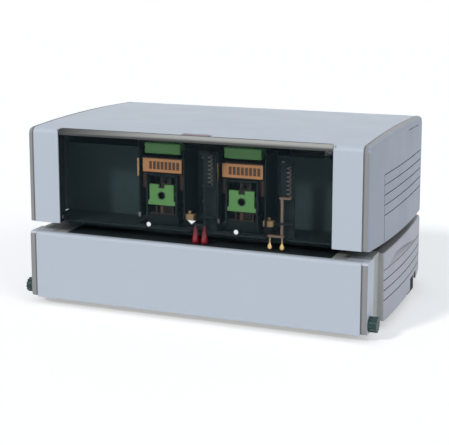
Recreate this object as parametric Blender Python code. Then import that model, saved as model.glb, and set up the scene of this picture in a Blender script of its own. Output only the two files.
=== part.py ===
"""Twin-head electric stapler: two stacked housings with a paper mouth between them.

Metres, +Z up. The origin is on the floor, at the middle of the footprint. The front faces -Y.
Every outline below is written in named sizes, so the machine follows them when one is changed.
"""

import math

import bmesh
import bpy
from mathutils import Matrix, Vector

# Housing
WIDTH = 0.420
DEPTH = 0.275
FLOOR_GAP = 0.009
LOWER_HEIGHT = 0.082
MOUTH_HEIGHT = 0.0125
UPPER_HEIGHT = 0.115
TOP_CROWN = 0.0032
SIDE_SWELL_LOW = 0.008
SIDE_SWELL_HIGH = 0.0025
RIM_WIDTH = 0.0075
BEND_RADIUS = 0.007
RIM_RADIUS = 0.004
REAR_RADIUS = 0.006
FOOT_EDGE_RADIUS = 0.002
STEP_DEPTH = 0.058

# Walls and clearances
SHELL = 0.0025
COVER_SHEET = 0.002
SHEET = 0.0015
PLATE = 0.002
SEAM = 0.0004
CLEAR = 0.0003
PIN_CLEAR = 0.0003
OVERRUN = 0.003
EMBED = 0.0004

# Window and latch
WINDOW_SIDE_IN = 0.0415
WINDOW_GAP = 0.0005
WINDOW_THICK = 0.003
WINDOW_SETBACK = 0.0002
WINDOW_CORNER = 0.005
TRIM_STUB = 0.0004
WINDOW_PIVOT_IN = 0.0075
WINDOW_PIVOT_UP = 0.0065
WINDOW_PIN_RADIUS = 0.002
WINDOW_PIN_REACH = 0.0038
LUG_WIDTH = 0.008
LUG_RADIUS = 0.0045
RETURN_DEPTH = 0.015
RETURN_SETBACK = 0.0002
LATCH_LEFT = -0.0128
LATCH_LENGTH = 0.0315
LATCH_TRAVEL = 0.0045
LATCH_DEPTH = 0.0105
LATCH_THICK = 0.0016
POCKET_DEPTH = 0.0024
POCKET_FLOOR = 0.0015
RIDGE_WIDTH = 0.0012
RIDGE_HEIGHT = 0.0005
RIDGE_COUNT = 7

# Side grooves, vents and the lifting scoop
GROOVE_WIDTH = 0.0011
GROOVE_DEPTH = 0.0011
GROOVE_END_IN = 0.014
UPPER_GROOVE_RISE = 0.075
UPPER_GROOVE_PITCH = 0.0116
UPPER_GROOVE_COUNT = 5
UPPER_GROOVE_DROP = 0.0025
LOWER_GROOVE_UNDER = 0.0223
LOWER_GROOVE_PITCH = 0.0117
LOWER_GROOVE_COUNT = 4
LOWER_GROOVE_DROP = 0.005
UPPER_SKIRT_DROP = 0.0075
UPPER_SKIRT_BOW_SHARE = 0.7
SIDE_TOP_RADIUS = 0.006
SHOULDER_DROP = 0.0025
SHOULDER_RADIUS = 0.003
SHORT_GROOVE_START = 0.180
SHORT_GROOVE_END = 0.242
SHORT_GROOVE_UNDER = 0.0085
SCOOP_START = 0.078
SCOOP_LENGTH = 0.150
SCOOP_HEIGHT = 0.0098
SCOOP_DEPTH = 0.0095
SCOOP_LIP = 0.0003
SCOOP_BACK = 0.002
LOWER_COVER_RISE = 0.0005
FOOT_NOTCH_START = 0.192
FOOT_NOTCH_END = 0.238
FOOT_NOTCH_HEIGHT = 0.0145
REAR_SKIRT_RISE = 0.004
LOWER_COVER_IN = 0.0100
VENT_WIDTH = 0.003
VENT_HEIGHT = 0.034
VENT_PITCH = 0.011
VENT_COUNT = 12
VENT_ABOVE = 0.028
REAR_LIP = 0.012
REAR_COVER_THICK = 0.0022
REAR_INSET = 0.001
WAIST_OVERLAP = 0.006

# Swinging front cover, its end caps, pivot knobs and the fixed corner columns
LIP_DEPTH = 0.0075
PANEL_EDGE_RADIUS = 0.004
CAP_DEPTH = 0.028
CAP_LEDGE_IN = 0.026
CAP_CORNER_RADIUS = 0.005
PIVOT_IN = 0.011
PIVOT_UP = 0.011
CAP_SWING_RADIUS = 0.0165
KNOB_RADIUS = 0.0088
KNOB_REACH = 0.0098
KNOB_FLUTES = 12
KNOB_FLUTE_RADIUS = 0.0011
KNOB_SHANK_RADIUS = 0.003
EAR_RADIUS = 0.0072
COLUMN_SETBACK = 0.002
COLUMN_IN = 0.012
LEDGE_IN = 0.044
LEDGE_THICK = 0.003
TABLE_DROP = 0.0005
LEDGE_BACK = 0.066

# Frame
CHASSIS_IN = 0.0128
CHASSIS_FRONT_LOW = 0.033
CHASSIS_FRONT_TOP = 0.006
CHASSIS_BACK_IN = 0.007
CHASSIS_BOTTOM = 0.012
THROAT_DEPTH = 0.0712
PAN_FRONT = 0.034
PAN_HEIGHT = 0.012
PAN_FLOOR_UP = 0.0075
MOUNT_DEPTH = 0.072
MOUNT_TOP_SHARE = 0.752
MOUNT_BOTTOM = 0.020
MOUTH_PLATE_FRONT = 0.016
MOUTH_PLATE_BACK = 0.0705
MOUTH_PLATE_SIDE_GAP = 0.0007
TABLE_FRONT = 0.008
TABLE_BACK = 0.0655
TABLE_FLANGE = 0.009
STOP_DEPTH = 0.055

# Feet
FOOT_IN = 0.038
FOOT_LENGTH = 0.032
FRONT_FOOT_START = 0.042
FRONT_FOOT_SIDE_GAP = 0.0012
REAR_FOOT_START = 0.199
REAR_FOOT_LENGTH = 0.0355
REAR_FOOT_OUT = 0.0015
REAR_FOOT_HEIGHT = 0.0195

# Stapling heads
HEAD_CENTRE = 0.0017
HEAD_PITCH = 0.101
FRAME_HALF = 0.0295
FRAME_FRONT = 0.031
FRAME_RISE = 0.0085
FRAME_TOP_SHARE = 0.804
CARRIAGE_HALF = 0.0206
CARRIAGE_PLATE = 0.0039
CARRIAGE_FRONT = 0.034
CARRIAGE_TOP_SHARE = 0.77
SHELF_SHARE = 0.5174
SHELF_THICK = 0.0025
NOSE_RISE = 0.0025
NOSE_HEIGHT = 0.012
NOSE_BACK_IN = 0.0125
POST_WIDTH = 0.0026
POST_DEPTH = 0.007
POST_FRONT = 0.031
CARTRIDGE_HALF = 0.026
CARTRIDGE_DEPTH = 0.022
CARTRIDGE_HEIGHT = 0.020
CARTRIDGE_BEVEL = 0.0012
LEVER_HALF = 0.023
LEVER_HEIGHT = 0.0126
LEVER_LIFT = 0.0042
LEVER_DEPTH = 0.015
LEVER_BEVEL = 0.001
LEVER_PIVOT_BACK = 0.0185
LEVER_PIVOT_UP = 0.009
TONGUE_INNER = 0.0104
TONGUE_OUTER = 0.0142
TONGUE_RADIUS = 0.0034
BOSS_HALF = 0.0098
BOSS_RADIUS = 0.003
LEVER_PIN_RADIUS = 0.0013
GATE_HALF = 0.0155
GATE_HEIGHT = 0.0245
GATE_SHARE = 0.2217
GATE_THICK = 0.0035
GATE_FRONT = 0.0312
GATE_HOLE_RADIUS = 0.0037
GATE_HOLE_UP = 0.0115
GATE_NOTCH_HALF = 0.004
GATE_NOTCH_DEPTH = 0.0045
GATE_EAR_HEIGHT = 0.005
GATE_EAR_REACH = 0.0018
GATE_PIN_RADIUS = 0.0012
GATE_PIVOT_UP = 0.0025
BLADE_HALF = 0.007
BLADE_IN = 0.044
BLADE_THICK = 0.0015
BLADE_RISE = 0.0085
BLADE_TOP_SHARE = 0.4913
ARM_HALF = 0.005
ARM_SHARE = 0.3174
ARM_HEIGHT = 0.006
TAPPET_HALF = 0.0012
TAPPET_HEIGHT = 0.0015
ARM_SLOT_HALF = 0.0062
CARRIAGE_STROKE = 0.012
DRIVER_STROKE = 0.018

# Clinchers under the table
CLINCH_WALL = 0.004
CLINCH_CHANNEL_HALF = 0.0024
CLINCH_HALF = 0.0145
CLINCH_SLOT_HALF = 0.0112
CLINCH_HEIGHT = 0.018
CLINCH_FLOOR = 0.005
CLINCH_TOP_GAP = 0.0003
CLINCH_STEM_HALF = 0.008
WING_PIVOT_X = 0.0094
WING_PIVOT_UP = 0.0155
WING_LENGTH = 0.0086
WING_THICK = 0.0022
WING_ANGLE = math.radians(20)
WING_PIN_RADIUS = 0.001
TABLE_SLOT_HALF = 0.012
TABLE_SLOT_REACH = 0.0036

# Drive
CAM_ROOM = 0.002
SHAFT_RADIUS = 0.005
CAM_BASE_RADIUS = 0.014
CAM_HALF = 0.004
CAM_CLEAR = 0.0009
CAM_HUB_RADIUS = 0.009
CAM_HUB_REACH = 0.003
GEAR_MODULE = 0.0015
GEAR_WIDTH = 0.008
DRIVE_TEETH = 40
IDLER_SMALL_TEETH = 12
IDLER_LARGE_TEETH = 36
MOTOR_TEETH = 12
GEAR_BACKLASH = 0.00035
BRACKET_X = 0.126
BRACKET_RISE = 0.0245
BRACKET_BACK = 0.206
BRACKET_FLANGE = 0.012
GEAR_STAND_OFF = 0.003
AXLE_RADIUS = 0.003
MOTOR_RADIUS = 0.018
MOTOR_LENGTH = 0.058
MOTOR_SHAFT_RADIUS = 0.002
MOTOR_BOSS_RADIUS = 0.008
MOTOR_BOSS_LENGTH = 0.004
COLLAR_RADIUS = 0.009
COLLAR_REACH = 0.004

# Paper feelers in front of the heads
FEELER_DEPTH = 0.0178
FEELER_LEFT_X = 0.0116
FEELER_RIGHT_X = 0.1062
FEELER_ROD_RADIUS = 0.0013
FEELER_BAR_RISE = 0.003
CONE_BAR_RISE = 0.0085
FEELER_BAR_THICK = 0.002
FEELER_BAR_HALF = 0.0022
FEELER_TIP_GAP = 0.0009
CONE_TOP_RADIUS = 0.001
CONE_RADIUS = 0.0048
CONE_PITCH = 0.0112
PIN_TIP_RADIUS = 0.003
PIN_NECK_RADIUS = 0.0012
PIN_PITCH = 0.0146
FEELER_LEFT_SHARE = 0.4913
FEELER_RIGHT_SHARE = 0.4304
SPRING_OFFSET = 0.0075
SPRING_LEFT_SHARE = 0.8
SPRING_RIGHT_SHARE = 0.7435
SPRING_RADIUS = 0.0026
SPRING_WIRE_RADIUS = 0.0004
SPRING_LEFT_CURLS = 7
SPRING_RIGHT_CURLS = 7
CURL_POINTS = 9
FEELER_ARM_THICK = 0.002
FEELER_ARM_HALF = 0.003
BRACKET_STRIP_IN = 0.0245
BRACKET_LEFT_REACH = 0.004
BRACKET_RIGHT_REACH = 0.012
GUIDE_TAB_RISE = 0.0185
TAB_FRONT = 0.013
FEELER_CUT_LEFT = 0.019
FEELER_CUT_RIGHT = 0.006
FEELER_CUT_BACK = 0.0235

# Electrical parts
BOARD_LEFT = 0.010
BOARD_SIDE_GAP = 0.0352
BOARD_FRONT = 0.120
BOARD_DEPTH = 0.105
BOARD_UP = 0.008
BOARD_THICK = 0.0016
STAND_HALF = 0.003
BOARD_EDGE_IN = 0.006
TRANSFORMER_HEIGHT = 0.036
INLET_SIDE_IN = 0.050
INLET_RISE = 0.037
INLET_HALF_WIDTH = 0.0135
INLET_HALF_HEIGHT = 0.010
INLET_FLANGE = 0.004
INLET_FLANGE_THICK = 0.0018
INLET_WALL = 0.0016
INLET_DEPTH = 0.020
INLET_RECESS = 0.003
SWITCH_PITCH = 0.042
SWITCH_HALF_WIDTH = 0.0062
SWITCH_HALF_HEIGHT = 0.0098
SWITCH_DEPTH = 0.010
SWITCH_AXIS_IN = 0.0045
SWITCH_ROCK = math.radians(6)

# Places worked out from the sizes above
FRONT = -DEPTH / 2
BACK = DEPTH / 2
REAR_FACE = BACK - REAR_INSET
LOWER_Z = FLOOR_GAP
TABLE_Z = LOWER_Z + LOWER_HEIGHT
UPPER_Z = TABLE_Z + MOUTH_HEIGHT
TOP_Z = UPPER_Z + UPPER_HEIGHT
STEP = FRONT + STEP_DEPTH
COVER_HALF = WIDTH / 2 - RIM_WIDTH - SEAM / 2
CAP_INNER = WIDTH / 2 - RIM_WIDTH + SEAM / 2
WINDOW_HALF = WIDTH / 2 - WINDOW_SIDE_IN
LOWER_COVER_INNER = WIDTH / 2 - LOWER_COVER_IN
CAP_LEDGE_HALF = WIDTH / 2 - CAP_LEDGE_IN
COLUMN_INNER = WIDTH / 2 - COLUMN_IN
LEDGE_HALF = WIDTH / 2 - LEDGE_IN
CHASSIS_OUTER = WIDTH / 2 - CHASSIS_IN
CHASSIS_INNER = CHASSIS_OUTER - PLATE
MOUTH_PLATE_HALF = CHASSIS_INNER - MOUTH_PLATE_SIDE_GAP
FOOT_INNER = WIDTH / 2 - FOOT_IN
FRONT_FOOT_OUTER = CHASSIS_OUTER - FRONT_FOOT_SIDE_GAP
REAR_FOOT_OUTER = WIDTH / 2 + REAR_FOOT_OUT
PIVOT_Y = FRONT + PIVOT_IN
PIVOT_Z = LOWER_Z + PIVOT_UP
WINDOW_PIVOT_Y = FRONT + WINDOW_PIVOT_IN
WINDOW_PIVOT_Z = UPPER_Z + WINDOW_PIVOT_UP
HEAD_X = {"left": HEAD_CENTRE - HEAD_PITCH / 2, "right": HEAD_CENTRE + HEAD_PITCH / 2}
SIDE = {"left": -1, "right": 1}
LEDGE_Z = TABLE_Z - TABLE_DROP
UPPER_GROOVE_TOP = UPPER_Z + UPPER_GROOVE_RISE
LOWER_GROOVE_TOP = TABLE_Z - LOWER_GROOVE_UNDER
MOUNT_TOP = UPPER_Z + UPPER_HEIGHT * MOUNT_TOP_SHARE
FRAME_BOTTOM = UPPER_Z + FRAME_RISE
FRAME_TOP = UPPER_Z + UPPER_HEIGHT * FRAME_TOP_SHARE
CARRIAGE_TOP = UPPER_Z + UPPER_HEIGHT * CARRIAGE_TOP_SHARE
SHELF_Z = UPPER_Z + UPPER_HEIGHT * SHELF_SHARE
NOSE_BOTTOM = UPPER_Z + NOSE_RISE
GATE_BOTTOM = UPPER_Z + UPPER_HEIGHT * GATE_SHARE
BLADE_BOTTOM = UPPER_Z + BLADE_RISE
BLADE_TOP = UPPER_Z + UPPER_HEIGHT * BLADE_TOP_SHARE
ARM_BOTTOM = UPPER_Z + UPPER_HEIGHT * ARM_SHARE
CAM_REACH = CAM_BASE_RADIUS + DRIVER_STROKE
SHAFT_Y = FRONT + MOUNT_DEPTH + PLATE + CAM_ROOM + CAM_REACH
ARM_TOP = ARM_BOTTOM + ARM_HEIGHT
SHAFT_Z = ARM_TOP + TAPPET_HEIGHT + CAM_CLEAR + CAM_BASE_RADIUS
IDLER_Y = SHAFT_Y + GEAR_MODULE * (DRIVE_TEETH + IDLER_SMALL_TEETH) / 2
MOTOR_Y = IDLER_Y + GEAR_MODULE * (IDLER_LARGE_TEETH + MOTOR_TEETH) / 2
GEAR_X = BRACKET_X + PLATE + GEAR_STAND_OFF
IDLER_X = GEAR_X + GEAR_WIDTH + PLATE
BLADE_Y = FRONT + BLADE_IN
BRACKET_BOTTOM = UPPER_Z + BRACKET_RISE
FEELER_Y = FRONT + FEELER_DEPTH
FEELER_TIP_BOTTOM = LEDGE_Z + FEELER_TIP_GAP
FEELER_LEFT_TOP = UPPER_Z + UPPER_HEIGHT * FEELER_LEFT_SHARE
FEELER_RIGHT_TOP = UPPER_Z + UPPER_HEIGHT * FEELER_RIGHT_SHARE
SPRING_LEFT_TOP = UPPER_Z + UPPER_HEIGHT * SPRING_LEFT_SHARE
SPRING_RIGHT_TOP = UPPER_Z + UPPER_HEIGHT * SPRING_RIGHT_SHARE
GUIDE_TAB_Z = UPPER_Z + GUIDE_TAB_RISE
BOARD_LENGTH = CHASSIS_INNER - BOARD_SIDE_GAP - BOARD_LEFT
INLET_X = INLET_SIDE_IN - LOWER_COVER_INNER
INLET_Z = LOWER_Z + INLET_RISE
SWITCH_X = INLET_X + SWITCH_PITCH
CARTRIDGE_FRONT = FRONT + CARRIAGE_FRONT
CARTRIDGE_Z = SHELF_Z + SHELF_THICK + CLEAR
CARTRIDGE_TOP = CARTRIDGE_Z + CARTRIDGE_HEIGHT
LEVER_PIVOT_Y = CARTRIDGE_FRONT + LEVER_PIVOT_BACK
LEVER_PIVOT_Z = CARTRIDGE_TOP + LEVER_PIVOT_UP
GATE_PIVOT_Y = FRONT + GATE_FRONT + GATE_THICK / 2
GATE_PIVOT_Z = GATE_BOTTOM + GATE_PIVOT_UP
POST_OUTER = CARRIAGE_HALF - CLEAR
CLINCH_TOP = LEDGE_Z - PLATE - CLINCH_TOP_GAP
CLINCH_BOTTOM = CLINCH_TOP - CLINCH_HEIGHT
CLINCH_Y = BLADE_Y + BLADE_THICK / 2
PAN_TOP_FACE = PAN_FLOOR_UP + SHEET
LATCH_RIGHT = LATCH_LEFT + LATCH_LENGTH

# Stations along the depth, as shares of it, where the swelling sides are drawn
SWELL_SHARES = (0.21, 0.33, 0.45, 0.57, 0.69, 0.81, 0.90, 0.95)
SCOOP_SHARES = (
    (0.00, 0.05, 0.06), (0.09, 0.48, 0.50), (0.20, 0.94, 0.95), (0.33, 1.00, 1.00), (0.48, 0.88, 0.95),
    (0.64, 0.66, 0.80), (0.80, 0.38, 0.50), (0.92, 0.17, 0.22), (1.00, 0.05, 0.06),
)

MATERIALS = {}


def finish(name, colour, roughness, metallic=0.0, alpha=1.0):
    """Return the named Principled material, made once."""
    if name not in MATERIALS:
        material = bpy.data.materials.new(name)
        material.use_nodes = True
        shader = material.node_tree.nodes["Principled BSDF"]
        shader.inputs["Base Color"].default_value = (*colour, 1.0)
        shader.inputs["Roughness"].default_value = roughness
        shader.inputs["Metallic"].default_value = metallic
        shader.inputs["Alpha"].default_value = alpha
        material.diffuse_color = (*colour, alpha)
        MATERIALS[name] = material
    return MATERIALS[name]


def pale_cover():
    return finish("pale_cover", (0.62, 0.67, 0.76), 0.45)


def side_grey():
    return finish("side_grey", (0.40, 0.42, 0.50), 0.5)


def warm_rim():
    return finish("warm_rim", (0.42, 0.40, 0.37), 0.5)


def smoked_pane():
    return finish("smoked_pane", (0.03, 0.05, 0.06), 0.08, alpha=0.45)


def dark_steel():
    return finish("dark_steel", (0.05, 0.07, 0.08), 0.45, 0.8)


def bright_steel():
    return finish("bright_steel", (0.55, 0.56, 0.58), 0.35, 1.0)


def zinc_plate():
    return finish("zinc_plate", (0.45, 0.45, 0.42), 0.4, 0.9)


def black_rubber():
    return finish("black_rubber", (0.03, 0.03, 0.03), 0.8)


def black_plastic():
    return finish("black_plastic", (0.03, 0.035, 0.04), 0.5)


def knob_plastic():
    return finish("knob_plastic", (0.10, 0.14, 0.15), 0.5)


def green_plastic():
    return finish("green_plastic", (0.13, 0.42, 0.15), 0.45)


def brass():
    return finish("brass", (0.62, 0.42, 0.16), 0.35, 1.0)


def red_lens():
    return finish("red_lens", (0.70, 0.03, 0.06), 0.2, alpha=0.8)


def board_green():
    return finish("board_green", (0.04, 0.22, 0.10), 0.5)


def latch_rose():
    return finish("latch_rose", (0.36, 0.29, 0.32), 0.5)


def arch(y):
    """Nothing at the front and back faces, one halfway between them."""
    share = (y - FRONT) / DEPTH
    return 4 * share * (1 - share)


def side_x(y, z):
    """Half width of the housing at a depth and a height: the sides swell, more so lower down."""
    rise = (z - LOWER_Z) / (TOP_Z - LOWER_Z)
    swell = SIDE_SWELL_LOW + (SIDE_SWELL_HIGH - SIDE_SWELL_LOW) * rise
    return WIDTH / 2 + swell * arch(y)


def top_z(y):
    """Height of the crowned top at a depth."""
    return TOP_Z + TOP_CROWN * arch(y)


def skirt_z(y):
    """Height of the upper side covers' bottom edge at a depth."""
    return UPPER_Z - UPPER_SKIRT_DROP * ((y - FRONT) / DEPTH) ** UPPER_SKIRT_BOW_SHARE


def rounding(distance, radius):
    """How far a rounded corner falls back at a distance from its edge."""
    if distance >= radius:
        return 0.0
    reach = radius - max(distance, 0.0)
    return radius - math.sqrt(radius ** 2 - reach ** 2)


def arc(centre, radius, start, end, steps):
    """Points of an arc in a plane, angles in degrees."""
    points = []
    for index in range(steps + 1):
        angle = math.radians(start + (end - start) * index / steps)
        points.append((centre[0] + radius * math.cos(angle), centre[1] + radius * math.sin(angle)))
    return points


def offset_line(points, distance):
    """An open line moved sideways, to the right of its own direction."""
    moved = []
    for index, point in enumerate(points):
        before = Vector(points[max(index - 1, 0)])
        here = Vector(point)
        after = Vector(points[min(index + 1, len(points) - 1)])
        first = (here - before) if index else (after - here)
        second = (after - here) if index < len(points) - 1 else (here - before)
        first.normalize()
        second.normalize()
        across = Vector((first.y + second.y, -first.x - second.x)).normalized()
        stretch = across.dot(Vector((first.y, -first.x)))
        moved.append(tuple(here + across * (distance / stretch)))
    return moved


def spaced(axis, u, v, w):
    """A point from its place in the plane across an axis, and its place along that axis."""
    if axis == "X":
        return (w, u, v)
    if axis == "Y":
        return (u, w, v)
    return (u, v, w)


def add_loft(mesh, rings):
    """A closed body through rings that hold as many points each, with flat ends."""
    loops = [[mesh.verts.new(point) for point in ring] for ring in rings]
    count = len(loops[0])
    mesh.faces.new(loops[0])
    mesh.faces.new(loops[-1])
    for first, second in zip(loops, loops[1:]):
        for index in range(count):
            follow = (index + 1) % count
            mesh.faces.new((first[index], first[follow], second[follow], second[index]))


def add_prism(mesh, outline, axis, start, end):
    """An outline in the plane across an axis, run from start to end along it."""
    add_loft(mesh, [[spaced(axis, u, v, place) for u, v in outline] for place in (start, end)])


def add_box(mesh, x, y, z):
    """A block between two ends along each axis."""
    add_prism(mesh, [(x[0], y[0]), (x[1], y[0]), (x[1], y[1]), (x[0], y[1])], "Z", z[0], z[1])


def circle(centre, radius, sides, turn=0.0):
    return [
        (centre[0] + radius * math.cos(turn + math.tau * index / sides),
         centre[1] + radius * math.sin(turn + math.tau * index / sides))
        for index in range(sides)
    ]


def add_cylinder(mesh, axis, centre, radius, start, end, sides=24):
    add_prism(mesh, circle(centre, radius, sides), axis, start, end)


def add_turned(mesh, axis, centre, profile, sides=24):
    """A turned body: the profile gives a radius and a place along the axis for each ring."""
    rings = []
    for radius, place in profile:
        rings.append([spaced(axis, u, v, place) for u, v in circle(centre, radius, sides)])
    add_loft(mesh, rings)


def mirrored(side, pair):
    """Two places measured from the middle, put on one side, lower first."""
    return tuple(sorted((side * pair[0], side * pair[1])))


def new_object(name, mesh):
    """Close a mesh with its faces outwards and put it in the scene."""
    bmesh.ops.recalc_face_normals(mesh, faces=mesh.faces)
    data = bpy.data.meshes.new(name)
    mesh.to_mesh(data)
    mesh.free()
    item = bpy.data.objects.new(name, data)
    bpy.context.scene.collection.objects.link(item)
    return item


def piece(name, mesh, material, smooth=False):
    item = new_object(name, mesh)
    item.data.materials.append(material)
    if smooth:
        item.data.shade_smooth()
        item.data.set_sharp_from_angle(angle=math.radians(35))
    return item


def shape_with(target, operation, fill):
    """Cut a helper shape from a piece, join it on, or keep only what both fill."""
    mesh = bmesh.new()
    fill(mesh)
    helper = new_object(f"{target.name}_{operation.lower()}_{len(target.modifiers)}", mesh)
    helper.hide_render = True
    helper.display_type = "WIRE"
    change = target.modifiers.new(operation.lower(), "BOOLEAN")
    change.operation = operation
    change.object = helper
    return target


def cut(target, fill):
    return shape_with(target, "DIFFERENCE", fill)


def join(target, fill):
    return shape_with(target, "UNION", fill)


def soften(target, width, segments=1):
    """Bevel the sharp edges of a piece."""
    bevel = target.modifiers.new("edges", "BEVEL")
    bevel.width = width
    bevel.segments = segments
    bevel.limit_method = "ANGLE"
    return target


def hang(name, place, items):
    """Put pieces on an empty that stands on their joint's axis."""
    pivot = bpy.data.objects.new(name, None)
    pivot.location = place
    pivot.empty_display_size = SHELL
    bpy.context.scene.collection.objects.link(pivot)
    for item in items:
        item.data.transform(Matrix.Translation(-Vector(place)))
        item.parent = pivot


# Outer housing


def side_depths(start, end, front_radius, back_radius):
    """Depths at which a side cover is drawn: close together round its edges, wide between."""
    depths = [start + front_radius * share for share in (0.0, 0.15, 0.5, 1.0)]
    depths += [FRONT + DEPTH * share for share in SWELL_SHARES]
    depths += [end - back_radius * share for share in (1.0, 0.5, 0.15, 0.0)]
    return sorted(depth for depth in depths if start <= depth <= end)


def upper_side_ring(side, y, inset):
    """One cross-section of an upper side cover, or of the hollow inside it."""
    reach_in = y - FRONT - inset
    reach_back = BACK - y - inset
    fall = rounding(reach_in, RIM_RADIUS - inset) + rounding(reach_back, REAR_RADIUS - inset)
    drop = rounding(reach_in, BEND_RADIUS - inset) + rounding(reach_back, BEND_RADIUS - inset)
    lift = rounding(reach_in, FOOT_EDGE_RADIUS) + rounding(reach_back, REAR_RADIUS)
    top = top_z(y) - drop - inset
    bottom = skirt_z(y) + lift
    inner = CAP_INNER
    if inset:
        bottom -= OVERRUN + lift
        inner -= OVERRUN
    radius = min(SIDE_TOP_RADIUS - inset, side_x(y, top) - fall - inset - CAP_INNER - EMBED)
    corner = (side_x(y, top - radius) - fall - inset - radius, top - radius)
    points = [(inner, bottom), (side_x(y, bottom) - fall - inset, bottom)]
    points += arc(corner, radius, 0, 90, 4)
    points.append((inner, top))
    return [(side * x, y, z) for x, z in points]


def add_side_band(mesh, side, depths, levels, outwards):
    """A bar along a side cover's face, between two heights and two distances from the face."""
    rings = []
    for y in depths:
        low, high = levels(y)
        ring = [
            (side_x(y, low) + outwards[0], low), (side_x(y, low) + outwards[1], low),
            (side_x(y, high) + outwards[1], high), (side_x(y, high) + outwards[0], high),
        ]
        rings.append([(side * x, y, z) for x, z in ring])
    add_loft(mesh, rings)


def groove_depths(start, end):
    inner = [FRONT + DEPTH * share for share in SWELL_SHARES]
    return [start] + [depth for depth in inner if start < depth < end] + [end]


def groove_level(y, top, drop):
    """Height of a groove at a depth: it sinks a little towards the back."""
    return top - drop * (y - STEP) / (BACK - STEP)


def cut_grooves(cover, side, top, pitch, count, drop):
    """The long fine grooves of a side cover, one below the other."""
    depths = groove_depths(STEP, BACK - GROOVE_END_IN)

    def fill(mesh):
        for index in range(count):
            level = top - pitch * index
            add_side_band(
                mesh, side, depths,
                lambda y: (groove_level(y, level, drop) - GROOVE_WIDTH / 2,
                           groove_level(y, level, drop) + GROOVE_WIDTH / 2),
                (-GROOVE_DEPTH, OVERRUN))

    cut(cover, fill)


def cut_step_line(cover, side, bottom, top):
    """The upright groove where the grooved field of an upper side cover starts."""
    def fill(mesh):
        rings = []
        for z in (bottom - OVERRUN, top):
            y = (STEP - GROOVE_WIDTH / 2, STEP + GROOVE_WIDTH / 2)
            inner = side_x(STEP, z) - GROOVE_DEPTH
            outer = inner + GROOVE_DEPTH + OVERRUN
            ring = [(inner, y[0]), (outer, y[0]), (outer, y[1]), (inner, y[1])]
            rings.append([(side * u, v, z) for u, v in ring])
        add_loft(mesh, rings)

    cut(cover, fill)


def make_upper_side_cover(name):
    side = SIDE[name]
    mesh = bmesh.new()
    depths = side_depths(FRONT, BACK, BEND_RADIUS, BEND_RADIUS)
    add_loft(mesh, [upper_side_ring(side, y, 0.0) for y in depths])
    cover = piece(f"upper_side_cover_{name}", mesh, side_grey())

    def hollow(tool):
        inner = [FRONT + SHELL, FRONT + BEND_RADIUS] + [FRONT + DEPTH * share for share in SWELL_SHARES]
        inner += [BACK - BEND_RADIUS, BACK - SHELL]
        add_loft(tool, [upper_side_ring(side, y, SHELL) for y in inner])

    cut(cover, hollow)
    cut_grooves(cover, side, UPPER_GROOVE_TOP, UPPER_GROOVE_PITCH, UPPER_GROOVE_COUNT, UPPER_GROOVE_DROP)
    cut_step_line(cover, side, UPPER_Z - UPPER_SKIRT_DROP, UPPER_GROOVE_TOP)
    short = groove_depths(FRONT + SHORT_GROOVE_START, FRONT + SHORT_GROOVE_END)
    cut(cover, lambda tool: add_side_band(
        tool, side, short,
        lambda y: (top_z(y) - SHORT_GROOVE_UNDER - GROOVE_WIDTH, top_z(y) - SHORT_GROOVE_UNDER),
        (-GROOVE_DEPTH, OVERRUN)))
    return cover


def lower_side_ring(side, y, inset):
    """One cross-section of a lower side cover, or of the hollow inside it."""
    reach_in = y - STEP - inset
    reach_back = BACK - y - inset
    fall = rounding(reach_in, max(FOOT_EDGE_RADIUS - inset, EMBED)) + rounding(reach_back, REAR_RADIUS - inset)
    bottom = LOWER_Z + LOWER_COVER_RISE
    top = TABLE_Z - SHOULDER_DROP - inset
    inner = LOWER_COVER_INNER
    if inset:
        bottom -= OVERRUN
        inner -= OVERRUN
    radius = SHOULDER_RADIUS - min(inset, SHOULDER_RADIUS - EMBED)
    corner = (side_x(y, top - radius) - fall - inset - radius, top - radius)
    points = [(inner, bottom), (side_x(y, bottom) - fall - inset, bottom)]
    points += arc(corner, radius, 0, 90, 3)
    points.append((inner, top))
    return [(side * x, y, z) for x, z in points]


def scoop_level(y):
    return groove_level(y, LOWER_GROOVE_TOP, LOWER_GROOVE_DROP)


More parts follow.
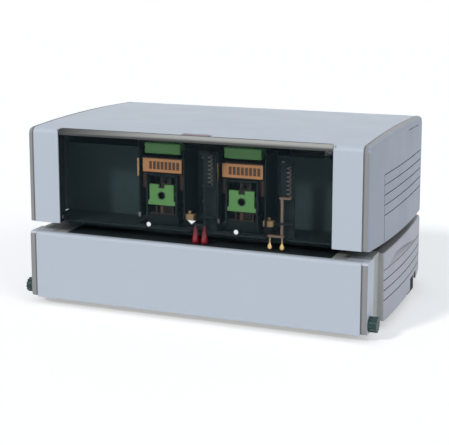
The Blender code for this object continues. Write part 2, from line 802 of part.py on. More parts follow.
def make_lower_side_cover(name):
    side = SIDE[name]
    mesh = bmesh.new()
    depths = side_depths(STEP, BACK, FOOT_EDGE_RADIUS, REAR_RADIUS)
    add_loft(mesh, [lower_side_ring(side, y, 0.0) for y in depths])
    cover = piece(f"lower_side_cover_{name}", mesh, side_grey())

    def hollow(tool):
        inner = [STEP + SHELL] + [y for y in depths if STEP + SHELL < y < BACK - SHELL] + [BACK - SHELL]
        add_loft(tool, [lower_side_ring(side, y, SHELL) for y in inner])

    cut(cover, hollow)
    scoop_end = FRONT + SCOOP_START + SCOOP_LENGTH
    backing = groove_depths(FRONT + SCOOP_START - SHELL, scoop_end + SHELL)
    join(cover, lambda tool: add_side_band(
        tool, side, backing,
        lambda y: (scoop_level(y) - SHELL, scoop_level(y) + SCOOP_HEIGHT + SHELL),
        (-SCOOP_DEPTH - SCOOP_BACK, -SHELL / 2)))

    def scoop(tool):
        rings = []
        for along_share, height_share, depth_share in SCOOP_SHARES:
            y = FRONT + SCOOP_START + SCOOP_LENGTH * along_share
            low = scoop_level(y) + GROOVE_WIDTH
            high = low + SCOOP_HEIGHT * height_share
            ring = [
                (side_x(y, low) + SCOOP_LIP, low), (side_x(y, high) - SCOOP_DEPTH * depth_share, high),
                (side_x(y, high) + OVERRUN, high), (side_x(y, low) + OVERRUN, low),
            ]
            rings.append([(side * x, y, z) for x, z in ring])
        add_loft(tool, rings)

    cut(cover, scoop)
    cut_grooves(cover, side, LOWER_GROOVE_TOP, LOWER_GROOVE_PITCH, LOWER_GROOVE_COUNT, LOWER_GROOVE_DROP)

    def foot_notch(tool):
        reach = mirrored(side, (LOWER_COVER_INNER - OVERRUN, WIDTH / 2 + SIDE_SWELL_LOW + OVERRUN))
        start = FRONT + FOOT_NOTCH_START
        end = FRONT + FOOT_NOTCH_END
        outline = [
            (start, LOWER_Z - OVERRUN), (BACK + OVERRUN, LOWER_Z - OVERRUN),
            (BACK + OVERRUN, LOWER_Z + REAR_SKIRT_RISE + REAR_SKIRT_RISE),
            (end, LOWER_Z + REAR_SKIRT_RISE - LOWER_COVER_RISE), (end, LOWER_Z + FOOT_NOTCH_HEIGHT),
            (start, LOWER_Z + FOOT_NOTCH_HEIGHT),
        ]
        add_prism(tool, outline, "X", reach[0], reach[1])

    cut(cover, foot_notch)
    return cover


def cover_line():
    """The top cover's outer line, from its front bottom edge over the top to the rear lip."""
    points = [(FRONT, UPPER_Z)]
    points += arc((FRONT + BEND_RADIUS, TOP_Z - BEND_RADIUS), BEND_RADIUS, 180, 95, 5)
    for share in (0.1, 0.22, 0.36, 0.5, 0.64, 0.78, 0.9):
        y = FRONT + DEPTH * share
        points.append((y, top_z(y)))
    points += arc((BACK - BEND_RADIUS, TOP_Z - BEND_RADIUS), BEND_RADIUS, 85, 0, 5)
    points.append((BACK, TOP_Z - REAR_LIP))
    return points


def window_opening(gap):
    """The window's outline seen from above, with its two rounded rear corners."""
    half = WINDOW_HALF + gap
    back = FRONT + BEND_RADIUS + gap
    radius = WINDOW_CORNER + gap
    left = arc((-half + radius, back - radius), radius, 180, 90, 4)
    right = arc((half - radius, back - radius), radius, 90, 0, 4)
    front = FRONT - OVERRUN
    return [(-half, front)] + left + right + [(half, front)]


def make_top_cover():
    line = cover_line()
    mesh = bmesh.new()
    add_prism(mesh, line + offset_line(line, COVER_SHEET)[::-1], "X", -COVER_HALF, COVER_HALF)
    cover = piece("top_cover", mesh, pale_cover(), smooth=True)
    cut(cover, lambda tool: add_prism(
        tool, window_opening(WINDOW_GAP), "Z", UPPER_Z - OVERRUN, TOP_Z + OVERRUN))
    pocket_back = FRONT + BEND_RADIUS + LATCH_DEPTH
    pad_top = TOP_Z - COVER_SHEET / 2
    pad_bottom = TOP_Z - POCKET_DEPTH - POCKET_FLOOR

    def add_carriers(tool):
        for side in SIDE.values():
            reach = WINDOW_HALF + WINDOW_GAP + RETURN_SETBACK
            x = mirrored(side, (reach, reach + COVER_SHEET))
            y = (FRONT + EMBED, FRONT + RETURN_DEPTH)
            add_box(tool, x, y, (UPPER_Z + EMBED, TOP_Z - COVER_SHEET / 2))
        x = (LATCH_LEFT - SHELL, LATCH_RIGHT + LATCH_TRAVEL + SHELL)
        y = (FRONT + BEND_RADIUS + WINDOW_GAP + EMBED, pocket_back + SHELL)
        add_box(tool, x, y, (pad_bottom, pad_top))

    join(cover, add_carriers)

    def cut_pocket(tool):
        x = (LATCH_LEFT - CLEAR, LATCH_RIGHT + LATCH_TRAVEL + CLEAR)
        y = (FRONT + BEND_RADIUS - OVERRUN, pocket_back + CLEAR)
        add_box(tool, x, y, (TOP_Z - POCKET_DEPTH, TOP_Z + TOP_CROWN + OVERRUN))

    cut(cover, cut_pocket)

    def cut_pin_holes(tool):
        for side in SIDE.values():
            reach = WINDOW_HALF + WINDOW_GAP
            x = mirrored(side, (reach - OVERRUN, reach + COVER_SHEET + OVERRUN))
            centre = (WINDOW_PIVOT_Y, WINDOW_PIVOT_Z)
            add_cylinder(tool, "X", centre, WINDOW_PIN_RADIUS + PIN_CLEAR, x[0], x[1], 16)

    return cut(cover, cut_pin_holes)


def make_window():
    """The smoked pane, with lugs and pivot pins at its lower corners."""
    mesh = bmesh.new()
    bottom = UPPER_Z + WINDOW_GAP
    top = TOP_Z - BEND_RADIUS - TRIM_STUB - CLEAR
    y = (FRONT + WINDOW_SETBACK, FRONT + WINDOW_THICK)
    add_box(mesh, (-WINDOW_HALF, WINDOW_HALF), y, (bottom, top))
    pane = piece("window", mesh, smoked_pane())

    def add_lugs(tool):
        for side in SIDE.values():
            x = mirrored(side, (WINDOW_HALF - LUG_WIDTH, WINDOW_HALF - EMBED))
            centre = (WINDOW_PIVOT_Y, WINDOW_PIVOT_Z)
            low = WINDOW_PIVOT_Z - LUG_RADIUS
            high = WINDOW_PIVOT_Z + LUG_RADIUS
            near = y[0] + EMBED
            outline = [(near, low)] + arc(centre, LUG_RADIUS, -90, 90, 8) + [(near, high)]
            add_prism(tool, outline, "X", x[0], x[1])

    def add_pins(tool):
        for side in SIDE.values():
            x = mirrored(side, (WINDOW_HALF - LUG_WIDTH / 2, WINDOW_HALF + WINDOW_PIN_REACH))
            add_cylinder(tool, "X", (WINDOW_PIVOT_Y, WINDOW_PIVOT_Z), WINDOW_PIN_RADIUS, x[0], x[1], 16)

    join(pane, add_lugs)
    return join(pane, add_pins)


def make_window_trim():
    """The rounded strip along the window's top edge, which closes the bend of the top cover."""
    centre = (FRONT + BEND_RADIUS, TOP_Z - BEND_RADIUS)
    line = [(FRONT, TOP_Z - BEND_RADIUS - TRIM_STUB)] + arc(centre, BEND_RADIUS, 180, 90, 6)
    mesh = bmesh.new()
    add_prism(mesh, line + offset_line(line, WINDOW_THICK)[::-1], "X", -WINDOW_HALF, WINDOW_HALF)
    trim = piece("window_trim", mesh, warm_rim(), smooth=True)
    return shape_with(trim, "INTERSECT", lambda tool: add_prism(
        tool, window_opening(0.0), "Z", UPPER_Z, TOP_Z + OVERRUN))


def make_window_latch():
    floor = TOP_Z - POCKET_DEPTH + CLEAR
    y = (FRONT + BEND_RADIUS + WINDOW_GAP + CLEAR, FRONT + BEND_RADIUS + LATCH_DEPTH)
    mesh = bmesh.new()
    add_box(mesh, (LATCH_LEFT, LATCH_RIGHT), y, (floor, floor + LATCH_THICK))
    latch = piece("window_latch", mesh, latch_rose())

    def add_ridges(tool):
        pitch = LATCH_LENGTH / (RIDGE_COUNT + 1)
        for index in range(RIDGE_COUNT):
            x = LATCH_LEFT + pitch * (index + 1)
            add_box(tool, (x - RIDGE_WIDTH / 2, x + RIDGE_WIDTH / 2), (y[0] + EMBED, y[1] - EMBED),
                    (floor + LATCH_THICK / 2, floor + LATCH_THICK + RIDGE_HEIGHT))

    return join(latch, add_ridges)


def make_upper_rear_cover():
    x = (-COVER_HALF, COVER_HALF)
    y = (REAR_FACE - REAR_COVER_THICK, REAR_FACE)
    bottom = UPPER_Z - UPPER_SKIRT_DROP + REAR_RADIUS / 2
    mesh = bmesh.new()
    add_box(mesh, x, y, (bottom, TOP_Z - REAR_LIP - SEAM))
    cover = piece("upper_rear_cover", mesh, pale_cover())

    def cut_vents(tool):
        low = bottom + VENT_ABOVE
        first = -VENT_PITCH * (VENT_COUNT - 1) / 2
        for index in range(VENT_COUNT):
            x = first + VENT_PITCH * index
            add_box(tool, (x - VENT_WIDTH / 2, x + VENT_WIDTH / 2), (y[0] - OVERRUN, y[1] + OVERRUN),
                    (low, low + VENT_HEIGHT))

    return cut(cover, cut_vents)


def make_lower_rear_cover():
    y = (REAR_FACE - REAR_COVER_THICK, REAR_FACE)
    mesh = bmesh.new()
    half = LOWER_COVER_INNER - SEAM
    top = TABLE_Z - SHOULDER_DROP
    add_box(mesh, (-half, half), y, (LOWER_Z + REAR_SKIRT_RISE, top))
    cover = piece("lower_rear_cover", mesh, pale_cover())
    outline = [
        (y[0] - CLEAR - PLATE, top - PLATE), (y[0] + EMBED, top - PLATE), (y[0] + EMBED, top - EMBED),
        (y[0] - CLEAR, top - EMBED), (y[0] - CLEAR, UPPER_Z + WAIST_OVERLAP),
        (y[0] - CLEAR - PLATE, UPPER_Z + WAIST_OVERLAP),
    ]
    join(cover, lambda tool: add_prism(tool, outline, "X", -half, half))

    def cut_openings(tool):
        through = (y[0] - OVERRUN, y[1] + OVERRUN)
        half = INLET_HALF_WIDTH + CLEAR
        tall = INLET_HALF_HEIGHT + CLEAR
        add_box(tool, (INLET_X - half, INLET_X + half), through, (INLET_Z - tall, INLET_Z + tall))
        half = SWITCH_HALF_WIDTH + SEAM
        tall = SWITCH_HALF_HEIGHT + SEAM + SEAM
        add_box(tool, (SWITCH_X - half, SWITCH_X + half), through, (INLET_Z - tall, INLET_Z + tall))

    cut(cover, cut_openings)

    def add_pivot_ears(tool):
        for side in SIDE.values():
            near = SWITCH_X + side * (SWITCH_HALF_WIDTH + SEAM)
            x = sorted((near, near + side * PLATE))
            low = INLET_Z - TONGUE_RADIUS
            add_box(tool, x, (REAR_FACE - SWITCH_DEPTH, y[1] - EMBED), (low, low + TONGUE_RADIUS * 2))

    join(cover, add_pivot_ears)

    def cut_pivot_holes(tool):
        reach = SWITCH_HALF_WIDTH + PLATE + OVERRUN
        add_cylinder(tool, "X", (REAR_FACE - SWITCH_AXIS_IN, INLET_Z), LEVER_PIN_RADIUS + PIN_CLEAR,
                     SWITCH_X - reach, SWITCH_X + reach, 12)

    return cut(cover, cut_pivot_holes)


def make_power_inlet():
    """The mains inlet: a deep socket with a flange that is seated in the rear cover."""
    x = (INLET_X - INLET_HALF_WIDTH, INLET_X + INLET_HALF_WIDTH)
    z = (INLET_Z - INLET_HALF_HEIGHT, INLET_Z + INLET_HALF_HEIGHT)
    mesh = bmesh.new()
    add_box(mesh, x, (REAR_FACE - INLET_DEPTH, REAR_FACE - EMBED), z)
    inlet = piece("power_inlet", mesh, black_plastic())

    def add_flange(tool):
        back = REAR_FACE - REAR_COVER_THICK - CLEAR
        add_box(tool, (x[0] - INLET_FLANGE, x[1] + INLET_FLANGE), (back - INLET_FLANGE_THICK, back),
                (z[0] - INLET_FLANGE, z[1] + INLET_FLANGE))

    join(inlet, add_flange)
    return cut(inlet, lambda tool: add_box(
        tool, (x[0] + INLET_WALL, x[1] - INLET_WALL), (REAR_FACE - INLET_DEPTH + INLET_WALL, BACK + OVERRUN),
        (z[0] + INLET_WALL, z[1] - INLET_WALL)))


def make_rocker_switch():
    """The mains rocker, seen from the side as a shallow V, on a short pin."""
    centre = (REAR_FACE - SWITCH_AXIS_IN, INLET_Z)
    high = SWITCH_HALF_HEIGHT
    lean = high * math.tan(SWITCH_ROCK)
    face = REAR_FACE - REAR_COVER_THICK / 2
    outline = [
        (centre[0], centre[1] - high * 0.75), (face - lean, centre[1] - high), (face - lean / 2, centre[1]),
        (face + lean / 2, centre[1] + high), (centre[0], centre[1] + high * 0.75),
    ]
    mesh = bmesh.new()
    add_prism(mesh, outline, "X", SWITCH_X - SWITCH_HALF_WIDTH, SWITCH_X + SWITCH_HALF_WIDTH)
    switch = piece("rocker_switch", mesh, black_plastic())
    reach = SWITCH_HALF_WIDTH + SEAM + PLATE / 2
    join(switch, lambda tool: add_cylinder(
        tool, "X", (centre[0] + EMBED / 2, centre[1]), LEVER_PIN_RADIUS, SWITCH_X - reach, SWITCH_X + reach, 12))
    return switch


# Swinging front cover


def make_lower_front_cover():
    """The big front panel: its top edge turns back into a narrow lip."""
    line = [(FRONT, LOWER_Z)]
    line += arc((FRONT + PANEL_EDGE_RADIUS, TABLE_Z - PANEL_EDGE_RADIUS), PANEL_EDGE_RADIUS, 180, 90, 4)
    line.append((FRONT + LIP_DEPTH, TABLE_Z))
    mesh = bmesh.new()
    add_prism(mesh, line + offset_line(line, SHELL)[::-1], "X", -COVER_HALF, COVER_HALF)
    return piece("lower_front_cover", mesh, pale_cover(), smooth=True)


def make_front_cover_cap(name):
    """The end cap of the front cover: rim, side and a ledge that covers the corner."""
    side = SIDE[name]
    back = FRONT + CAP_DEPTH
    outer = WIDTH / 2
    low_turn = arc((PIVOT_Y, PIVOT_Z), CAP_SWING_RADIUS, 0, -42, 4)
    profile = [(FRONT, LOWER_Z + CAP_CORNER_RADIUS)]
    profile += arc((FRONT + PANEL_EDGE_RADIUS, TABLE_Z - PANEL_EDGE_RADIUS), PANEL_EDGE_RADIUS, 180, 90, 4)
    profile += [(back, TABLE_Z)] + low_turn
    profile += arc((FRONT + CAP_CORNER_RADIUS, LOWER_Z + CAP_CORNER_RADIUS), CAP_CORNER_RADIUS, 270, 180, 4)[:-1]
    mesh = bmesh.new()
    x = mirrored(side, (CAP_INNER, outer))
    add_prism(mesh, profile, "X", x[0], x[1])
    cap = piece(f"front_cover_cap_{name}", mesh, warm_rim())

    def hollow(tool):
        x = mirrored(side, (CAP_INNER - OVERRUN, outer - SHELL))
        inner = [
            (FRONT + SHELL, PIVOT_Z), (FRONT + SHELL, TABLE_Z - SHELL), (back + OVERRUN, TABLE_Z - SHELL),
            (back + OVERRUN, LOWER_Z - OVERRUN), (PIVOT_Y, LOWER_Z - OVERRUN),
        ]
        add_prism(tool, inner, "X", x[0], x[1])

    cut(cap, hollow)

    def ledge(tool):
        x = mirrored(side, (CAP_LEDGE_HALF, CAP_INNER + SHELL))
        add_box(tool, x, (FRONT + LIP_DEPTH + CLEAR, back), (TABLE_Z - SHELL, TABLE_Z))

    join(cap, ledge)

    def pivot_hole(tool):
        x = mirrored(side, (outer - SHELL - OVERRUN, outer + OVERRUN))
        add_cylinder(tool, "X", (PIVOT_Y, PIVOT_Z), KNOB_SHANK_RADIUS + PIN_CLEAR, x[0], x[1], 20)

    return cut(cap, pivot_hole)


def make_pivot_knob(name):
    """A fluted thumb screw: the front cover swings on its shank."""
    side = SIDE[name]
    outline = []
    for index in range(KNOB_FLUTES):
        for share, depth in ((0.0, 0.0), (0.35, 0.0), (0.5, KNOB_FLUTE_RADIUS), (0.85, KNOB_FLUTE_RADIUS)):
            angle = math.tau * (index + share) / KNOB_FLUTES
            radius = KNOB_RADIUS - depth
            outline.append((PIVOT_Y + radius * math.cos(angle), PIVOT_Z + radius * math.sin(angle)))
    inner = WIDTH / 2 + CLEAR
    collar = inner + KNOB_REACH / 5
    mesh = bmesh.new()
    x = mirrored(side, (collar - EMBED, inner + KNOB_REACH - CLEAR))
    add_prism(mesh, outline, "X", x[0], x[1])
    knob = piece(f"pivot_knob_{name}", mesh, knob_plastic())

    def shank(tool):
        profile = [
            (KNOB_SHANK_RADIUS, side * (CHASSIS_INNER - PLATE)), (KNOB_SHANK_RADIUS, side * inner),
            (KNOB_RADIUS, side * inner), (KNOB_RADIUS, side * collar),
        ]
        add_turned(tool, "X", (PIVOT_Y, PIVOT_Z), profile, 20)

    return join(knob, shank)


def make_corner_column(name):
    """The fixed column behind the swinging cover, with the ledge at the table's end."""
    side = SIDE[name]
    outer = WIDTH / 2 - COLUMN_SETBACK
    front = FRONT + CAP_DEPTH + CLEAR
    mesh = bmesh.new()
    add_box(mesh, mirrored(side, (COLUMN_INNER, outer)), (front, STEP - CLEAR), (LOWER_Z, LEDGE_Z))
    column = piece(f"corner_column_{name}", mesh, warm_rim())

    def ledge(tool):
        near = LEDGE_HALF
        far = CAP_LEDGE_HALF - CLEAR
        wide = COLUMN_INNER + SHELL
        outline = [
            (near, FRONT + TABLE_FRONT), (far, FRONT + TABLE_FRONT), (far, front + EMBED), (wide, front + EMBED),
            (wide, STEP - CLEAR - EMBED), (near, STEP - CLEAR - EMBED),
        ]
        outline = [(side * u, v) for u, v in outline]
        add_prism(tool, outline, "Z", LEDGE_Z - LEDGE_THICK, LEDGE_Z - EMBED / 4)

    return join(column, ledge)


# Frame


def make_chassis_plate(name):
    """A steel side plate, cut away in front for the paper mouth, with an ear for the cover pivot."""
    side = SIDE[name]
    low_front = FRONT + CHASSIS_FRONT_LOW
    back = BACK - CHASSIS_BACK_IN
    throat = FRONT + THROAT_DEPTH
    low_top = LEDGE_Z - LEDGE_THICK - CLEAR
    mouth_top = UPPER_Z + SHEET + CLEAR + CLEAR
    under = COVER_SHEET + CLEAR
    outline = arc((PIVOT_Y, PIVOT_Z), EAR_RADIUS, 270, 90, 8)
    outline += [(low_front, PIVOT_Z + EAR_RADIUS), (low_front, low_top), (throat, low_top), (throat, mouth_top)]
    outline += [(FRONT + CHASSIS_FRONT_TOP, mouth_top)]
    outline += [(FRONT + CHASSIS_FRONT_TOP, TOP_Z - BEND_RADIUS), (FRONT + BEND_RADIUS * 2, TOP_Z - under)]
    for share in (0.22, 0.36, 0.5, 0.64, 0.78):
        y = FRONT + DEPTH * share
        outline.append((y, top_z(y) - under))
    outline += [(BACK - BEND_RADIUS * 2, TOP_Z - under), (back, TOP_Z - BEND_RADIUS)]
    outline += [(back, CHASSIS_BOTTOM), (low_front, CHASSIS_BOTTOM), (low_front - EMBED, PIVOT_Z - EAR_RADIUS)]
    x = mirrored(side, (CHASSIS_INNER, CHASSIS_OUTER))
    mesh = bmesh.new()
    add_prism(mesh, outline, "X", x[0], x[1])
    plate = piece(f"chassis_plate_{name}", mesh, dark_steel())
    collar = mirrored(side, (CHASSIS_INNER - COLLAR_REACH, CHASSIS_INNER + EMBED))
    join(plate, lambda tool: add_cylinder(tool, "X", (SHAFT_Y, SHAFT_Z), COLLAR_RADIUS, collar[0], collar[1], 24))

    def holes(tool):
        through = mirrored(side, (CHASSIS_INNER - COLLAR_REACH - OVERRUN, CHASSIS_OUTER + OVERRUN))
        add_cylinder(tool, "X", (PIVOT_Y, PIVOT_Z), KNOB_SHANK_RADIUS + PIN_CLEAR, through[0], through[1], 20)
        add_cylinder(tool, "X", (SHAFT_Y, SHAFT_Z), SHAFT_RADIUS + CLEAR, through[0], through[1], 20)

    return cut(plate, holes)


def make_base_pan():
    """The steel tray that carries the lower mechanism and stands on the feet."""
    half = CHASSIS_INNER - CLEAR
    y = (FRONT + PAN_FRONT, BACK - CHASSIS_BACK_IN)
    z = (PAN_FLOOR_UP, PAN_FLOOR_UP + PAN_HEIGHT)
    mesh = bmesh.new()
    add_box(mesh, (-half, half), y, z)
    pan = piece("base_pan", mesh, zinc_plate())
    return cut(pan, lambda tool: add_box(
        tool, (-half + SHEET, half - SHEET), (y[0] + SHEET, y[1] - SHEET), (PAN_TOP_FACE, z[1] + OVERRUN)))


def make_front_foot(name):
    """A plain rubber block under the base pan's front corner."""
    start = FRONT + FRONT_FOOT_START
    x = mirrored(SIDE[name], (FOOT_INNER, FRONT_FOOT_OUTER))
    mesh = bmesh.new()
    add_box(mesh, x, (start, start + FOOT_LENGTH), (0.0, PAN_FLOOR_UP - CLEAR))
    return piece(f"front_foot_{name}", mesh, black_rubber())


def make_rear_foot(name):
    """A rubber foot that reaches out past the side plate and shows in the side cover's notch."""
    start = FRONT + REAR_FOOT_START
    under_pan = PAN_FLOOR_UP - CLEAR
    upright = CHASSIS_OUTER + CLEAR
    outline = [
        (FOOT_INNER, 0.0), (REAR_FOOT_OUTER, 0.0), (REAR_FOOT_OUTER, REAR_FOOT_HEIGHT),
        (upright, REAR_FOOT_HEIGHT), (upright, under_pan), (FOOT_INNER, under_pan),
    ]
    mesh = bmesh.new()
    add_prism(mesh, [(SIDE[name] * u, v) for u, v in outline], "Y", start, start + REAR_FOOT_LENGTH)
    return piece(f"rear_foot_{name}", mesh, black_rubber())


def make_paper_table():
    """The dark steel table, turned down in front and turned up behind as the paper stop."""
    front = FRONT + TABLE_FRONT
    stop = FRONT + STOP_DEPTH
    half = LEDGE_HALF - CLEAR
    low = LEDGE_Z - PLATE
    mesh = bmesh.new()
    outline = [
        (front, LEDGE_Z - TABLE_FLANGE), (front + PLATE, LEDGE_Z - TABLE_FLANGE), (front + PLATE, low),
        (stop + PLATE, low), (stop + PLATE, UPPER_Z - CLEAR), (stop, UPPER_Z - CLEAR), (stop, LEDGE_Z),
        (front, LEDGE_Z),
    ]
    add_prism(mesh, outline, "X", -half, half)
    table = piece("paper_table", mesh, dark_steel())

    def slots(tool):
        for x in HEAD_X.values():
            y = (CLINCH_Y - TABLE_SLOT_REACH, CLINCH_Y + TABLE_SLOT_REACH)
            add_box(tool, (x - TABLE_SLOT_HALF, x + TABLE_SLOT_HALF), y, (low - OVERRUN, LEDGE_Z + OVERRUN))

    return cut(table, slots)


def make_head_mounting_plate():
    """The cross plate that ties both side plates together and carries the heads."""
    half = CHASSIS_INNER - CLEAR
    y = (FRONT + MOUNT_DEPTH, FRONT + MOUNT_DEPTH + PLATE)
    mesh = bmesh.new()
    add_box(mesh, (-half, half), y, (MOUNT_BOTTOM, MOUNT_TOP))
    plate = piece("head_mounting_plate", mesh, dark_steel())
    return cut(plate, lambda tool: add_arm_slots(tool, (y[0] - OVERRUN, y[1] + OVERRUN)))


def add_arm_slots(mesh, y, names=("left", "right")):
    """The slots through which the driver arms travel up and down."""
    for name in names:
        x = HEAD_X[name]
        add_box(mesh, (x - ARM_SLOT_HALF, x + ARM_SLOT_HALF), y,
                (ARM_BOTTOM - DRIVER_STROKE - PLATE, ARM_TOP + PLATE))


def feeler_places():
    """For each paper feeler: its rod's place, the rod's top and its spring's top."""
    return {
        "left": (FEELER_LEFT_X, FEELER_LEFT_TOP, SPRING_LEFT_TOP),
        "right": (FEELER_RIGHT_X, FEELER_RIGHT_TOP, SPRING_RIGHT_TOP),
    }


def make_mouth_top_plate():
    """The plate above the paper, open at the heads, with a bracket for each paper feeler."""
    y = (FRONT + MOUTH_PLATE_FRONT, FRONT + MOUTH_PLATE_BACK)
    z = (UPPER_Z, UPPER_Z + SHEET)
    mesh = bmesh.new()
    add_box(mesh, (-MOUTH_PLATE_HALF, MOUTH_PLATE_HALF), y, z)
    plate = piece("mouth_top_plate", mesh, dark_steel())

    def windows(tool):
        for x in HEAD_X.values():
            half = FRAME_HALF + SHEET
            add_box(tool, (x - half, x + half), (FRONT + FRAME_FRONT - SHEET, y[1] + OVERRUN),
                    (z[0] - OVERRUN, z[1] + OVERRUN))
        for x, _, _ in feeler_places().values():
            add_box(tool, (x - FEELER_CUT_LEFT, x + FEELER_CUT_RIGHT), (y[0] - OVERRUN, FRONT + FEELER_CUT_BACK),
                    (z[0] - OVERRUN, z[1] + OVERRUN))

    cut(plate, windows)

    def brackets(tool):
        strip = (FRONT + BRACKET_STRIP_IN, FRONT + BRACKET_STRIP_IN + SHEET)
        tab = FRONT + TAB_FRONT
        for x, _, spring_top in feeler_places().values():
            high = spring_top + CLEAR
            outline = [
                (strip[1], z[0] + EMBED), (strip[1], high + SHEET), (tab, high + SHEET), (tab, high),
                (strip[0], high), (strip[0], GUIDE_TAB_Z + SHEET), (tab, GUIDE_TAB_Z + SHEET), (tab, GUIDE_TAB_Z),
                (strip[0], GUIDE_TAB_Z), (strip[0], z[0] + EMBED),
            ]
            add_prism(tool, outline, "X", x - BRACKET_LEFT_REACH, x + BRACKET_RIGHT_REACH)

    join(plate, brackets)

    def guide_holes(tool):
        for x, _, _ in feeler_places().values():
            add_cylinder(tool, "Z", (x, FEELER_Y), FEELER_ROD_RADIUS + PIN_CLEAR,
                         GUIDE_TAB_Z - OVERRUN, GUIDE_TAB_Z + SHEET + OVERRUN, 12)

    return cut(plate, guide_holes)


# Stapling heads


def make_head_frame(name):
    """The fixed U-shaped frame in which a head slides."""
    x = HEAD_X[name]
    front = FRONT + FRAME_FRONT
    back = FRONT + MOUNT_DEPTH - CLEAR
    inner = FRAME_HALF - SHEET
    outline = [
        (x - FRAME_HALF, front), (x - inner, front), (x - inner, back - SHEET), (x + inner, back - SHEET),
        (x + inner, front), (x + FRAME_HALF, front), (x + FRAME_HALF, back), (x - FRAME_HALF, back),
    ]
    mesh = bmesh.new()
    add_prism(mesh, outline, "Z", FRAME_BOTTOM, FRAME_TOP)
    frame = piece(f"head_frame_{name}", mesh, dark_steel())
    return cut(frame, lambda tool: add_arm_slots(tool, (back - SHEET - OVERRUN, back + OVERRUN), (name,)))


def make_head_carriage(name):
    """The sliding carriage: back plate, cartridge shelf, staple nose and two front posts."""
    x = HEAD_X[name]
    front = FRONT + CARRIAGE_FRONT
    back = FRONT + MOUNT_DEPTH - CLEAR - SHEET - CLEAR
    inner = back - CARRIAGE_PLATE
    nose_top = NOSE_BOTTOM + NOSE_HEIGHT
    nose_back = inner - NOSE_BACK_IN
    over_stop = UPPER_Z + CARRIAGE_STROKE + CLEAR
    outline = [
        (front, NOSE_BOTTOM), (nose_back, NOSE_BOTTOM), (nose_back, over_stop), (inner, over_stop),
        (inner, FRAME_BOTTOM), (back, FRAME_BOTTOM),
        (back, CARRIAGE_TOP), (inner, CARRIAGE_TOP), (inner, SHELF_Z + SHELF_THICK), (front, SHELF_Z + SHELF_THICK),
        (front, SHELF_Z), (inner, SHELF_Z), (inner, nose_top), (front, nose_top),
    ]
    mesh = bmesh.new()
    add_prism(mesh, outline, "X", x - CARRIAGE_HALF, x + CARRIAGE_HALF)
    carriage = piece(f"head_carriage_{name}", mesh, dark_steel())

    def posts(tool):
        for side in SIDE.values():
            reach = mirrored(side, (POST_OUTER - POST_WIDTH, POST_OUTER))
            y = (FRONT + POST_FRONT, FRONT + POST_FRONT + POST_DEPTH)
            add_box(tool, (x + reach[0], x + reach[1]), y,
                    (nose_top - SHELL, SHELF_Z + SHELF_THICK - EMBED))

    join(carriage, posts)

    def openings(tool):
        half = BLADE_HALF + CLEAR
        y = (BLADE_Y - CLEAR, BLADE_Y + BLADE_THICK + CLEAR)
        add_box(tool, (x - half, x + half), y, (NOSE_BOTTOM - OVERRUN, nose_top + OVERRUN))
        half = ARM_SLOT_HALF
        lag = DRIVER_STROKE - CARRIAGE_STROKE
        add_box(tool, (x - half, x + half), (inner - OVERRUN, back + OVERRUN),
                (ARM_BOTTOM - lag - PLATE, ARM_TOP + PLATE))
        reach = POST_OUTER + OVERRUN
        add_cylinder(tool, "X", (GATE_PIVOT_Y, GATE_PIVOT_Z), GATE_PIN_RADIUS + PIN_CLEAR, x - reach, x + reach, 12)

    return cut(carriage, openings)


def make_cartridge(name):
    """The staple cartridge, with the boss and pin of its lever on top."""
    x = HEAD_X[name]
    y = (CARTRIDGE_FRONT, CARTRIDGE_FRONT + CARTRIDGE_DEPTH)
    mesh = bmesh.new()
    add_box(mesh, (x - CARTRIDGE_HALF, x + CARTRIDGE_HALF), y, (CARTRIDGE_Z, CARTRIDGE_TOP))
    box = soften(piece(f"cartridge_{name}", mesh, black_plastic()), CARTRIDGE_BEVEL)

    def boss(tool):
        centre = (LEVER_PIVOT_Y, LEVER_PIVOT_Z)
        outline = [(centre[0] - BOSS_RADIUS, CARTRIDGE_TOP - CARTRIDGE_BEVEL)]
        outline += [(centre[0] + BOSS_RADIUS, CARTRIDGE_TOP - CARTRIDGE_BEVEL)]
        outline += arc(centre, BOSS_RADIUS, 0, 180, 6)
        add_prism(tool, outline, "X", x - BOSS_HALF, x + BOSS_HALF)

    join(box, boss)
    return join(box, lambda tool: add_cylinder(
        tool, "X", (LEVER_PIVOT_Y, LEVER_PIVOT_Z), LEVER_PIN_RADIUS, x - TONGUE_OUTER, x + TONGUE_OUTER, 12))


def make_cartridge_lever(name):
    """The green lever over the cartridge, lifted to free it."""
    x = HEAD_X[name]
    low = CARTRIDGE_TOP + LEVER_LIFT
    y = (CARTRIDGE_FRONT, CARTRIDGE_FRONT + LEVER_DEPTH)
    mesh = bmesh.new()
    add_box(mesh, (x - LEVER_HALF, x + LEVER_HALF), y, (low, low + LEVER_HEIGHT))
    lever = soften(piece(f"cartridge_lever_{name}", mesh, green_plastic()), LEVER_BEVEL)

    def tongues(tool):
        centre = (LEVER_PIVOT_Y, LEVER_PIVOT_Z)
        start = y[1] - SHELL
        outline = [(start, centre[1] - TONGUE_RADIUS)] + arc(centre, TONGUE_RADIUS, -90, 90, 6)
        outline.append((start, centre[1] + TONGUE_RADIUS))
        for side in SIDE.values():
            reach = mirrored(side, (TONGUE_INNER, TONGUE_OUTER))
            add_prism(tool, outline, "X", x + reach[0], x + reach[1])

    join(lever, tongues)
    reach = TONGUE_OUTER + OVERRUN
    return cut(lever, lambda tool: add_cylinder(
        tool, "X", (LEVER_PIVOT_Y, LEVER_PIVOT_Z), LEVER_PIN_RADIUS + PIN_CLEAR, x - reach, x + reach, 12))


